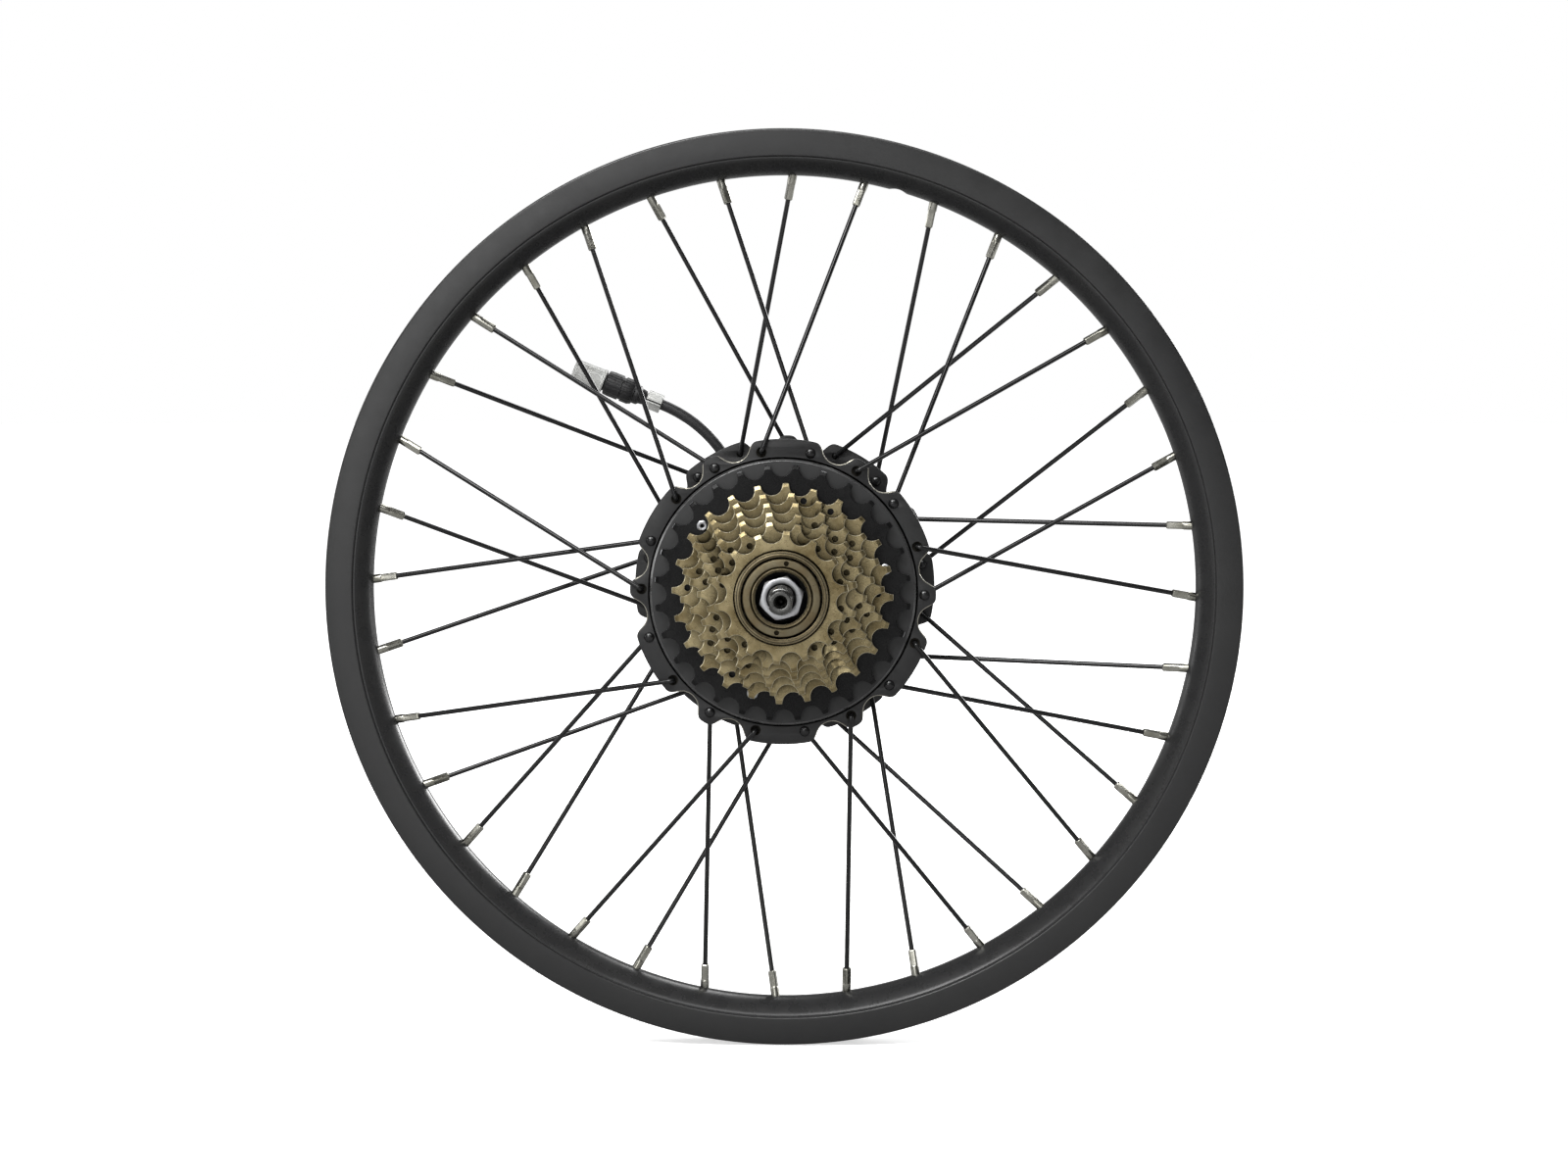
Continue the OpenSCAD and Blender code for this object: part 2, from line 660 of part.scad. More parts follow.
module freewheel_core() color(gold) lay() difference() {
  lathe([[boss_r + slip, boss_z], [22.6, boss_z], [22.6, 33.6],
         [19.64, 34.2], [19.64, 52.6], [17, 53.4], [17, 57.4],
         [nose_r, 57.4], [nose_r, 66.2], [13.1, 66.5], [12.1, 66.5],
         [11.8, 66.2], [11.8, 45.2], [boss_r + slip, 44.2]], 96);
  // splines for the removal tool
  around(12) translate([11.6, 0, 55]) cylinder(r = 0.9, h = 12, $fn = 24);
  // pawl pockets: a round pivot seat and room for the folded arm
  around(2) translate([0, pivot_r, 46]) {
    cylinder(r = 1.75, h = 5.4, $fn = 48);
    linear_extrude(5.4) polygon([[1.9, -0.7], [1.9, 3.5], [-9.6, 3.5],
      [-9.6, -3.2], [0, -1.7]]);
  }
}

module pawl(i) color(steel) lay() rotate([0, 0, i * 180])
  translate([0, pivot_r, 46.3]) {
    cylinder(r = 1.7, h = 4.8, $fn = 48);
    linear_extrude(4.8) polygon([[1.3, -0.6], [1.2, 0.9], [-3, 1.7],
      [-8.2, 0.35], [-8.2, -1.4], [0, -1.4]]);
  }
module pawl_1() pawl(0);
module pawl_2() pawl(1);

module pawl_springs() color(steel) lay()
  around(2) translate([-4.2, pivot_r - 2.2, 47])
    rotate([0, 0, 185]) mirror([0, 1, 0]) cube([4.2, 0.3, 3.2]);

module freewheel_cone() color(gold) lay() difference() {
  lathe([[cone_r, 57.6], [15.9, 57.6], [15.9, 62.3], [17.6, 62.8],
         [17.6, 65.9], [17.3, 66.2], [13.7, 66.2], [cone_r, 65.9]], 96);
  // pin holes for the peg spanner
  for (a = [8, 188]) at(a, 15.6) up(64) cylinder(r = 1.1, h = 4, $fn = 32);
}

module freewheel_balls() color(zinc) lay() {
  ball_row(21.3, 1.6, 36, 32);
  ball_row(17.55, 1.6, 60.3, 28);
}

module freewheel_body() color(gold) lay() difference() {
  lathe([[22.95, 31.2], [24.5, 31.2], [24.5, 54], [21.4, 54],
         [21.4, 65.6], [20.9, 66.1], [19.6, 66.1], [19.2, 65.7],
         [18.4, 65.7], [18.4, 62.5], [19.2, 62.2], [19.2, 54],
         [19.9, 54], [19.9, 39], [22.95, 38.6]]);
  // saw-tooth ratchet inside
  up(45.2) linear_extrude(7.2) intersection() {
    circle(r = 21.5, $fn = 144);
    around(24, 4.2) polygon([[0, 0],
      [22 * sin(-7), 22 * cos(-7)], [22 * sin(-6.6), 22 * cos(-6.6)],
      [19.6 * sin(7), 19.6 * cos(7)]]);
  }
}

// ---- sprockets ----
chain_pitch = 12.7;
wide_bore = 24.52;
small_bore = 21.45;
cog_hole_r = 1.5;
// from the largest: [teeth, angle of a tooth, bore radius,
//   angles of the holes, radius of the circle they lie on]
sprockets = [
  [28, 6, wide_bore, [310, 76.8, 196.8], 47.4],
  [24, 1.8, wide_bore, [12.7, 30.2, 90, 212, 273.7], 43],
  [22, 5.2, wide_bore, [53.7, 102.7, 236, 285.6], 38.9],
  [20, 8.3, wide_bore,
    [24.8, 43, 60.8, 97.5, 116, 206, 225, 244, 280, 298], 34.8],
  [18, -8.7, wide_bore, [49.6, 69.8, 110, 131, 232, 252, 292, 312], 30.8],
  [16, -9.6, small_bore,
    [36.7, 75.6, 101, 125, 147, 218, 282, 305, 328], 26.9],
  [14, 4.4, small_bore, [], 0]];

// a point at radius r and angle a, clockwise from the top
function polar(r, a) = [r * sin(a), r * cos(a)];
// outline of a sprocket, a tooth centred on angle first: round seats for the
// chain rollers, with flared sides up to narrow tips
function cog(teeth, first) =
  let (pitch_r = chain_pitch / 2 / sin(180 / teeth), tip_r = pitch_r + 1.4,
       roller_seat = 4.0, tip_a = 1.15 / tip_r * 180 / PI,
       side_r = tip_r - 0.5, side_a = tip_a * 1.35)
  [for (k = [0 : teeth - 1])
    let (valley = first + (k + 0.5) * 360 / teeth,
         peak = first + (k + 1) * 360 / teeth)
    each concat(
      [for (i = [0 : 8])
        let (a = -78 + i * 19.5, x = roller_seat * sin(a),
             y = pitch_r - roller_seat * cos(a))
        [y * sin(valley) + x * cos(valley), y * cos(valley) - x * sin(valley)]],
      [polar(side_r, peak - side_a), polar(tip_r, peak - tip_a),
       polar(tip_r, peak + tip_a), polar(side_r, peak + side_a)])];

module sprocket(i) {
  row = sprockets[i];
  color(i == 0 ? black : gold) lay()
    up(cog_first + i * cog_pitch - cog_t / 2)
      linear_extrude(cog_t) difference() {
        polygon(cog(row[0], row[1]));
        circle(r = row[2], $fn = 144);
        for (a = row[3]) rotate(-a) translate([0, row[4]])
          circle(r = cog_hole_r, $fn = 32);
      }
}
module sprocket_28() sprocket(0);
module sprocket_24() sprocket(1);
module sprocket_22() sprocket(2);
module sprocket_20() sprocket(3);
module sprocket_18() sprocket(4);
module sprocket_16() sprocket(5);
module sprocket_14() sprocket(6);

// rivets through the largest sprocket, with rolled heads on both faces
module sprocket_rivets() {
  shank_r = cog_hole_r - slip;
  under = cog_t / 2 + fit;     // underside of a head
  top = cog_t / 2 + 0.7;
  color(zinc) lay() for (a = sprockets[0][3])
    at(a, sprockets[0][4]) up(cog_first)
      lathe([[0.8, -top], [2.2, -top], [2.6, -under], [shank_r, -under],
             [shank_r, under], [2.6, under], [2.2, top], [0.8, top]], 48);
}

module sprocket_spacers() color(spacer_brown) lay()
  for (i = [0 : 5]) {
    z = cog_first + i * cog_pitch + cog_t / 2;
    tube(i < 4 ? 27.5 - 0.1 * i : 23.4, i < 4 ? wide_bore : small_bore,
         z, z + cog_pitch - cog_t);
  }

axle();
locknut();
spacer();
bearing_inner_drive();
bearing_inner_brake();
rotor_bearing_inner();
stator_core();
windings();
hall_board();
planet_carrier();
planet_pins();
clutch_cam();
clutch_rollers();
cable();
cable_grommet();
plug_boot();
plug_body();
plug_cap();
cable_clip();
rim();
nipples();
spokes_drive();
spokes_brake();
hub_shell();
cover_drive();
cover_brake();
cover_screws();
ring_gear();
bearing_outer_drive();
bearing_outer_brake();
seal_drive();
seal_brake();
freewheel_core();
freewheel_cone();
freewheel_balls();
pawl_springs();
rotor_bell();
magnets();
sun_gear();
rotor_bearing_outer();
planet_1();
planet_2();
planet_3();
freewheel_body();
sprocket_28();
sprocket_24();
sprocket_22();
sprocket_20();
sprocket_18();
sprocket_16();
sprocket_14();
sprocket_spacers();
sprocket_rivets();
pawl_1();
pawl_2();
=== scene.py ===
# The looks of a hub motor wheel: a spoked rim, its hub, freewheel, axle and cable, with a
# floor, lights and a camera.
# Shapes are written in millimetres in a working space: Z runs along the axle towards the
# freewheel (the drive side), Y is up, and angles go clockwise from the top as seen from the
# freewheel. world_mesh() turns that into metres with Z up, where the freewheel faces -Y.
import json
import math
import random
from collections import namedtuple

import bmesh
import bpy
import numpy as np
from mathutils import Matrix, Vector


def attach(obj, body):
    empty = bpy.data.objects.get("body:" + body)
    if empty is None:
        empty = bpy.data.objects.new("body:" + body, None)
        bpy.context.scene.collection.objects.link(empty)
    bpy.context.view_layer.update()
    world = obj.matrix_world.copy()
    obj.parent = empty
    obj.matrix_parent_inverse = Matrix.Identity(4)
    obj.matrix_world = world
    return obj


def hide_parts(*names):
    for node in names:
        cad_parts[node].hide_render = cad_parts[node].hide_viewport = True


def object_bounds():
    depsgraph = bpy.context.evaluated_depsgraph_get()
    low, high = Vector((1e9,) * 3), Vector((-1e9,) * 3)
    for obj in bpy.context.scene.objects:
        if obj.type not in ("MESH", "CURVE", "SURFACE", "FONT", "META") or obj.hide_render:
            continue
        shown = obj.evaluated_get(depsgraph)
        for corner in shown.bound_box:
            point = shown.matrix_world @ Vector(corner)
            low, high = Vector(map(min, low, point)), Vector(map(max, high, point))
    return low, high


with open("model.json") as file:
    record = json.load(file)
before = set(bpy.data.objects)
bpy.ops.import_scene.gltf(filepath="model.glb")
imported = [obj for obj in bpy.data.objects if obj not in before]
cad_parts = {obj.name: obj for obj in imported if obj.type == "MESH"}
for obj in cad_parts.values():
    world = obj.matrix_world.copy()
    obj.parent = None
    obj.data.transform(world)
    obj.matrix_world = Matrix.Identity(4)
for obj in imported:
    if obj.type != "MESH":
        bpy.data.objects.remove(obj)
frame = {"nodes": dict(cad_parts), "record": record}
CAD_BOX = [[float(c) for c in p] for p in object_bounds()]
RAD = math.pi / 180

# Rim
RIM_RADIUS = 210.0
SEAT_RADIUS = 203.0
BED_RADIUS = 188.9  # inner face, where the nipples sit
RIM_HALF = 12.5  # half of the rim's width
RIM_START = 3.8 * RAD  # angle of the rim's first section

# Hub flanges, by the middle of their thickness
FLANGE_DRIVE = 25.0
FLANGE_BRAKE = -21.0
FLANGE_THICK = 3.2
DRIVE_FACE = FLANGE_DRIVE + FLANGE_THICK / 2
BRAKE_FACE = FLANGE_BRAKE - FLANGE_THICK / 2
LOBE_RADIUS = 69.5
SCALLOP_CIRCLE = 70.2  # radius on which the flange scallops are centred
SCALLOP_RADIUS = 7.6

# Spokes
HOLE_CIRCLE = 64.2  # radius on which the spoke holes lie
SPOKES_PER_SIDE = 18
FIRST_DRIVE, FIRST_BRAKE = 11.2, 1.2  # angles of the first spoke on each side
LEAN = 20.0  # angle between a spoke's hub end and its rim end

# Sprockets
PITCH_HALF = 6.35  # half of the chain pitch
FIRST_COG_Z = 33
COG_STEP = 5
BIG_BORE, SMALL_BORE = 24.52, 21.45
RIVET_CIRCLE = 47.4
RIVET_ANGLES = (310, 76.8, 196.8)

# Axle and cable
THREAD_PITCH = 1.25
AXLE_RADIUS = 6.0
CABLE_Z = -59
CABLE_LEAN = 26 * RAD  # anticlockwise from the top, where the cable leaves the axle
CABLE_RUN = 57.0  # straight length before the bend
CABLE_BEND_RADIUS = 64.0
CABLE_BEND = 42 * RAD
CABLE_END = CABLE_RUN + CABLE_BEND_RADIUS * CABLE_BEND  # distance to the end of the bend
PLUG_HEADING = CABLE_LEAN + CABLE_BEND

# one stream of draws: first the nipples, then the cover screws
rng = random.Random(7)

Spoke = namedtuple("Spoke", "side angle outside lean")
Face = namedtuple("Face", "x y z radius facing outward")


# ------------------------------------------------------------------ outlines
def polar(angle, radius):
    """The point at an angle in degrees clockwise from the top."""
    return radius * math.sin(angle * RAD), radius * math.cos(angle * RAD)


def polar_ring(count, first, radius):
    return [polar(first + i * 360 / count, radius) for i in range(count)]


def near(x, y, centres, distance):
    return any((x - u) ** 2 + (y - v) ** 2 < distance**2 for u, v in centres)


def circle(x, y, radius, count):
    angles = [2 * math.pi * k / count for k in range(count)]
    return [(x + radius * math.cos(a), y + radius * math.sin(a)) for a in angles]


def fillet(points, steps=3):
    """Rounds the corners of a closed outline; a point's third number is its radius."""
    out = []
    for i, point in enumerate(points):
        radius = point[2] if len(point) > 2 else 0
        corner = np.array(point[:2], float)
        back = np.array(points[i - 1][:2], float) - corner
        ahead = np.array(points[(i + 1) % len(points)][:2], float) - corner
        back_length, ahead_length = np.linalg.norm(back), np.linalg.norm(ahead)
        if radius <= 0 or back_length < 1e-6 or ahead_length < 1e-6:
            out.append((corner[0], corner[1]))
            continue
        back, ahead = back / back_length, ahead / ahead_length
        angle = math.acos(max(-1, min(1, float(back @ ahead))))
        if angle > math.pi - 0.05 or angle < 0.05:
            out.append((corner[0], corner[1]))
            continue
        trim = min(radius / math.tan(angle / 2), 0.48 * back_length, 0.48 * ahead_length)
        radius = trim * math.tan(angle / 2)
        middle = (back + ahead) / np.linalg.norm(back + ahead)
        centre = corner + middle * radius / math.sin(angle / 2)
        start, end = corner + back * trim - centre, corner + ahead * trim - centre
        first, last = math.atan2(start[1], start[0]), math.atan2(end[1], end[0])
        sweep = (last - first + math.pi) % (2 * math.pi) - math.pi
        for k in range(steps + 1):
            a = first + sweep * k / steps
            out.append((centre[0] + radius * math.cos(a), centre[1] + radius * math.sin(a)))
    return out


def curve_through(points, steps):
    """A Catmull-Rom curve through the points."""
    P = [np.array(p, float) for p in points]
    P = [2 * P[0] - P[1]] + P + [2 * P[-1] - P[-2]]
    out = []
    for i in range(1, len(P) - 2):
        a, b, c, d = P[i - 1 : i + 3]
        for k in range(steps):
            t = k / steps
            slope = (c - a) * t
            bend = (2 * a - 5 * b + 4 * c - d) * t * t
            twist = (3 * b - a - 3 * c + d) * t**3
            q = 0.5 * (2 * b + slope + bend + twist)
            out.append((float(q[0]), float(q[1])))
    out.append((float(P[-2][0]), float(P[-2][1])))
    return out


def mirrored(half):
    """Closes a half profile of (radius, z) with its mirror image across z = 0."""
    return half + [(r, -z) for r, z in reversed(half[1:-1])]


# ------------------------------------------------------------------ shapes: (points, faces)
def ring_faces(rings, size, closed=True):
    """Quads between neighbouring rings of points; closed joins the last ring to the first."""
    faces = []
    for i in range(rings if closed else rings - 1):
        j = (i + 1) % rings
        for k in range(size):
            n = (k + 1) % size
            faces.append((i * size + k, i * size + n, j * size + n, j * size + k))
    return faces


def capped(points, rings, size):
    """A closed bar from rings of points."""
    caps = [tuple(reversed(range(size))), tuple((rings - 1) * size + k for k in range(size))]
    return points, ring_faces(rings, size, closed=False) + caps


def lathe(profile, segments, start=0.0, radius_at=None):
    """Turns a closed profile of (radius, z); radius_at(r, z, a) may alter the radius."""
    points = []
    for j in range(segments):
        a = start + 2 * math.pi * j / segments
        c, s = math.cos(a), math.sin(a)
        for r, z in profile:
            if radius_at:
                r = radius_at(r, z, a)
            points.append((r * c, r * s, z))
    return points, ring_faces(segments, len(profile))


def prism(outline, z0, z1):
    return capped([(x, y, z) for z in (z0, z1) for x, y in outline], 2, len(outline))


def rod(radius, z0, z1, segments=32):
    return prism(circle(0, 0, radius, segments), z0, z1)


def tube(path, radius, segments):
    """A round bar along a path, carried round its bends without twist."""
    points = []
    along = (path[1] - path[0]).normalized()
    across = along.orthogonal().normalized()
    for i, p in enumerate(path):
        heading = (path[min(len(path) - 1, i + 1)] - path[max(0, i - 1)]).normalized()
        across = (along.rotation_difference(heading) @ across).normalized()
        along = heading
        side = along.cross(across)
        for k in range(segments):
            a = 2 * math.pi * k / segments
            points.append(tuple(p + (across * math.cos(a) + side * math.sin(a)) * radius))
    return capped(points, len(path), segments)


def plate(loops, z0, z1, bevel):
    """A flat plate with rounded edges from closed outlines; inner outlines are holes."""
    curve = bpy.data.curves.new("tmp", "CURVE")
    curve.dimensions = "2D"
    curve.fill_mode = "BOTH"
    curve.extrude = (z1 - z0) / 2 - bevel
    curve.bevel_depth = bevel
    curve.bevel_resolution = 2
    curve.offset = -bevel
    for loop in loops:
        spline = curve.splines.new("POLY")
        spline.points.add(len(loop) - 1)
        for i, (x, y) in enumerate(loop):
            spline.points[i].co = (x, y, 0, 1)
        spline.use_cyclic_u = True
    ob = bpy.data.objects.new("tmp", curve)
    bpy.context.scene.collection.objects.link(ob)
    graph = bpy.context.evaluated_depsgraph_get()
    mesh = bpy.data.meshes.new_from_object(ob.evaluated_get(graph))
    middle = (z0 + z1) / 2
    points = [(v.co.x, v.co.y, v.co.z + middle) for v in mesh.vertices]
    faces = [tuple(p.vertices) for p in mesh.polygons]
    bpy.data.objects.remove(ob)
    bpy.data.curves.remove(curve)
    bpy.data.meshes.remove(mesh)
    return points, faces


def joined(shapes):
    points, faces = [], []
    for more_points, more_faces in shapes:
        n = len(points)
        points.extend(more_points)
        faces.extend([tuple(i + n for i in face) for face in more_faces])
    return points, faces


def moved(shape, matrix):
    return [tuple(matrix @ Vector(p)) for p in shape[0]], shape[1]


def turned(shape, degrees):
    """Turned clockwise about the axle."""
    c, s = math.cos(-degrees * RAD), math.sin(-degrees * RAD)
    return [(x * c - y * s, x * s + y * c, z) for x, y, z in shape[0]], shape[1]


def aim(start, end):
    """Matrix that lays +Z along start to end, with its origin at the end."""
    end = Vector(end)
    heading = (end - Vector(start)).normalized()
    return Matrix.Translation(end) @ heading.to_track_quat("Z", "Y").to_matrix().to_4x4()


def standing(x, y, z, flipped):
    """Matrix to a place, with +Z turned to -Z when flipped."""
    turn = Matrix.Rotation(math.pi, 4, "X") if flipped else Matrix.Identity(4)
    return Matrix.Translation((x, y, z)) @ turn


def copies(shape, places):
    """The same shape at several (x, y) places."""
    return [moved(shape, Matrix.Translation((x, y, 0))) for x, y in places]


# ------------------------------------------------------------------ objects
def world_mesh(name, shape, weld=False):
    points = np.asarray(shape[0], float)
    points = np.column_stack([points[:, 0], -points[:, 2], points[:, 1]]) / 1000.0
    mesh = bpy.data.meshes.new(name)
    mesh.from_pydata(points.tolist(), [], [list(f) for f in shape[1]])
    bm = bmesh.new()
    bm.from_mesh(mesh)
    if weld:
        bmesh.ops.remove_doubles(bm, verts=bm.verts, dist=2e-6)
        bmesh.ops.dissolve_degenerate(bm, edges=bm.edges, dist=1e-8)
    bmesh.ops.recalc_face_normals(bm, faces=bm.faces)
    bm.to_mesh(mesh)
    bm.free()
    return mesh


def add_object(name, mesh):
    ob = bpy.data.objects.new(name, mesh)
    bpy.context.scene.collection.objects.link(ob)
    return ob


def shade(mesh, sharp):
    mesh.shade_smooth()
    mesh.set_sharp_from_angle(angle=sharp * RAD)


def make(name, shape, material, body, piece, sharp=32):
    """An object that rides on a body and takes the place of a CAD piece."""
    ob = add_object(name, world_mesh(name, shape, weld=True))
    shade(ob.data, sharp)
    ob.data.materials.append(mats[material])
    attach(ob, body)
    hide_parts(piece)
    return ob


def carve(ob, cutters, sharp=32):
    """Cuts closed shapes out of an object, in place."""
    mesh = world_mesh("cutter", joined(cutters))
    cutter = add_object("cutter", mesh)
    cut = ob.modifiers.new("cut", "BOOLEAN")
    cut.operation = "DIFFERENCE"
    cut.object = cutter
    old, new = ob.data, None
    known = [e.identifier for e in cut.bl_rna.properties["solver"].enum_items]
    # a solver can fail and lose the object's own faces or cut nothing: the next is then tried
    for solver in ("EXACT", "MANIFOLD", "FLOAT"):
        if solver not in known:
            continue
        cut.solver = solver
        graph = bpy.context.evaluated_depsgraph_get()
        result = bpy.data.meshes.new_from_object(ob.evaluated_get(graph))
        count, before = len(result.polygons), len(old.polygons)
        if count > 0.8 * before and count != before:
            new = result
            break
        bpy.data.meshes.remove(result)
    ob.modifiers.remove(cut)
    if new is not None:
        ob.data = new
        new.name = ob.name
        bpy.data.meshes.remove(old)
    bpy.data.objects.remove(cutter)
    bpy.data.meshes.remove(mesh)
    if new is not None:
        shade(new, sharp)


def paint(ob, material, chosen):
    """Gives a further material to the faces that chosen(face) picks. Facing is the part of
    the normal towards the freewheel; outward is positive away from the axle."""
    ob.data.materials.append(mats[material])
    slot = len(ob.data.materials) - 1
    for poly in ob.data.polygons:
        c, n = poly.center, poly.normal
        face = Face(
            x=c.x * 1000,
            y=c.z * 1000,
            z=-c.y * 1000,
            radius=math.hypot(c.x, c.z) * 1000,
            facing=-n.y,
            outward=n.x * c.x + n.z * c.z,
        )
        if chosen(face):
            poly.material_index = slot


# ------------------------------------------------------------------ shader nodes
class Graph:
    """Adds nodes to a material's or world's tree. A socket given as a value is linked."""

    def __init__(self, owner):
        owner.use_nodes = True
        self.tree = owner.node_tree
        for node in list(self.tree.nodes):
            self.tree.nodes.remove(node)

    def feed(self, socket, value):
        if isinstance(value, bpy.types.NodeSocket):
            self.tree.links.new(value, socket)
        elif socket.type == "RGBA":
            socket.default_value = (*value, 1)
        else:
            socket.default_value = value

    def set(self, node, **values):
        """Sets inputs, with _ for a space in their names, or else properties."""
        for key, value in values.items():
            socket = key.replace("_", " ")
            if socket in node.inputs:
                self.feed(node.inputs[socket], value)
            else:
                setattr(node, key, value)

    def node(self, kind, **values):
        node = self.tree.nodes.new("ShaderNode" + kind)
        self.set(node, **values)
        return node

    def math(self, operation, *values, clamp=False):
        node = self.node("Math", operation=operation, use_clamp=clamp)
        for i, value in enumerate(values):
            self.feed(node.inputs[i], value)
        return node.outputs[0]

    def ramp(self, value, to, over=(0.0, 1.0)):
        """Maps the range `over` to the range `to`."""
        node = self.node("MapRange", Value=value, From_Min=over[0], From_Max=over[1])
        self.set(node, To_Min=to[0], To_Max=to[1])
        return node.outputs[0]

    def mix(self, factor, first, second):
        node = self.node("Mix", data_type="RGBA", clamp_factor=True)
        for i, value in ((0, factor), (6, first), (7, second)):
            self.feed(node.inputs[i], value)
        return node.outputs[2]


def new_surface(name):
    mat = bpy.data.materials.new(name)
    graph = Graph(mat)
    bsdf = graph.node("BsdfPrincipled")
    graph.node("OutputMaterial", Surface=bsdf.outputs[0])
    return mat, graph, bsdf


def grey(level):
    return (level, level, level)


def finish(
    name, base, tint, tint_scale, rough, metallic=0.0, rough_var=0.08, spec=0.5,
    grain=1800, grain_bump=0.15, turning=0.0, brushed=0.0, peel=0.0, specks=0.0,
    edge=None, edge_amount=0.6, edge_reach=0.00035, painted_shade=0.0, painted_shade_range=(0.2, 0.92),
    coat=0.0, coat_rough=0.1, sss=0.0, alpha=1.0,
):
    """One finish. base drifts to tint in patches; rough varies by rough_var; grain is the
    scale of the fine bumps and grain_bump their height. turning, brushed and peel are the
    heights of rings round the axle, of brush lines and of orange peel. specks darkens small
    spots. edge is the colour of lighter edges, partly edge wear and partly painted
    highlight, and edge_reach their width in metres. painted_shade is painted shade: it
    darkens corners, between the two levels of occlusion in painted_shade_range."""
    mat, graph, bsdf = new_surface(name)
    place = graph.node("TexCoord").outputs["Object"]

    def noise(scale, detail, roughness):
        node = graph.node("TexNoise", Scale=scale, Detail=detail, Roughness=roughness)
        graph.set(node, Vector=place)
        return node.outputs["Fac"]

    def raised(height, pattern, amount):
        return graph.math("ADD", height, graph.math("MULTIPLY", pattern, amount))

    slow = noise(tint_scale, 5.0, 0.6)
    fine = noise(grain, 3.0, 0.55)
    mid = noise(tint_scale * 6, 4.0, 0.65)
    patches = graph.math("MULTIPLY", graph.ramp(slow, (0, 1), (0.35, 0.68)), 1.0)
    color = graph.mix(patches, base, tint)
    if specks > 0:
        spots = graph.ramp(noise(520.0, 2.0, 0.5), (0, 1), (0.66, 0.74))
        dark = tuple(c * 0.35 for c in base)
        color = graph.mix(graph.math("MULTIPLY", spots, specks), color, dark)
    height = graph.math("MULTIPLY", fine, grain_bump)
    roughness = graph.math("ADD", graph.ramp(mid, (-rough_var, rough_var), (0.3, 0.7)), rough)
    if turning > 0:
        # noise over the distance from the axle, sheared along it
        across, along, up = graph.node("SeparateXYZ", Vector=place).outputs
        squares = [graph.math("MULTIPLY", part, part) for part in (across, up)]
        radius = graph.math("SQRT", graph.math("ADD", *squares))
        where = graph.math("ADD", radius, graph.math("MULTIPLY", along, 0.7))
        rings = graph.node("TexNoise", noise_dimensions="1D", W=where, Scale=2600, Detail=3.0)
        rings = rings.outputs["Fac"]
        height = raised(height, rings, turning)
        uneven = graph.ramp(rings, (-0.05, 0.05), (0.3, 0.7))
        roughness = graph.math("ADD", roughness, uneven)
    if brushed > 0:
        # noise drawn out along X
        lines = graph.node("Mapping", Vector=place, Scale=(120, 5200, 5200)).outputs[0]
        lines = graph.node("TexNoise", Vector=lines, Scale=1.0, Detail=3.0).outputs["Fac"]
        height = raised(height, lines, brushed)
    if peel > 0:
        height = raised(height, noise(420.0, 1.5, 0.4), peel)
    bump = graph.node("Bump", Strength=0.55, Distance=0.0001, Height=height)
    graph.set(bsdf, Normal=bump.outputs[0])
    if edge:
        # lighter edges where the rounded normal leaves the true one: partly edge wear, partly
        # painted highlight
        rounded = graph.node("Bevel", samples=4, Radius=edge_reach).outputs[0]
        true = graph.node("NewGeometry").outputs["Normal"]
        dot = graph.node("VectorMath", operation="DOT_PRODUCT")
        graph.feed(dot.inputs[0], rounded)
        graph.feed(dot.inputs[1], true)
        edge_wear_and_highlight = graph.ramp(dot.outputs["Value"], (1, 0), (0.55, 0.93))
        patchy = graph.ramp(mid, (0.35, 1.0), (0.35, 0.6))
        edge_wear_and_highlight = graph.math("MULTIPLY", edge_wear_and_highlight, patchy, clamp=True)
        color = graph.mix(graph.math("MULTIPLY", edge_wear_and_highlight, edge_amount), color, edge)
    if painted_shade > 0:
        # painted shade: the colour darkens in the corners between stacked parts, where occlusion is
        # high
        hidden = graph.node("AmbientOcclusion", samples=6, Distance=0.007).outputs["AO"]
        hidden = graph.ramp(hidden, (1, 0), painted_shade_range)
        dark = tuple(c * 0.05 for c in base)
        color = graph.mix(graph.math("MULTIPLY", hidden, painted_shade), color, dark)
    graph.set(
        bsdf,
        Base_Color=color,
        Roughness=graph.math("MAXIMUM", roughness, 0.05),
        Metallic=metallic,
        Specular_IOR_Level=spec,
        Coat_Weight=coat,
        Coat_Roughness=coat_rough,
        Alpha=alpha,
    )
    if sss:
        graph.set(
            bsdf, Subsurface_Weight=sss, Subsurface_Radius=(1, 1, 1), Subsurface_Scale=0.002
        )
    mat.diffuse_color = (*base, 1)
    return mat


# ------------------------------------------------------------------ materials
mats = {}
mats["rim"] = finish(
    "rim_satin_black", base=(0.010, 0.010, 0.0104), tint=grey(0.013), tint_scale=14,
    rough=0.34, rough_var=0.05, spec=0.46, grain=2600, grain_bump=0.22, peel=0.10,
    edge=grey(0.06), edge_amount=0.35,
)
mats["bed"] = finish(
    "rim_gloss_black", base=(0.019, 0.019, 0.0195), tint=grey(0.022), tint_scale=20,
    rough=0.28, rough_var=0.05, spec=0.36, grain=2200, grain_bump=0.02, peel=0.05,
)
mats["casing"] = finish(
    "casing_satin_black", base=(0.0075, 0.0075, 0.008), tint=grey(0.015), tint_scale=30,
    rough=0.36, rough_var=0.06, spec=0.36, painted_shade=0.6, grain=2400, grain_bump=0.30,
    peel=0.22, edge=grey(0.10), edge_amount=0.5,
)
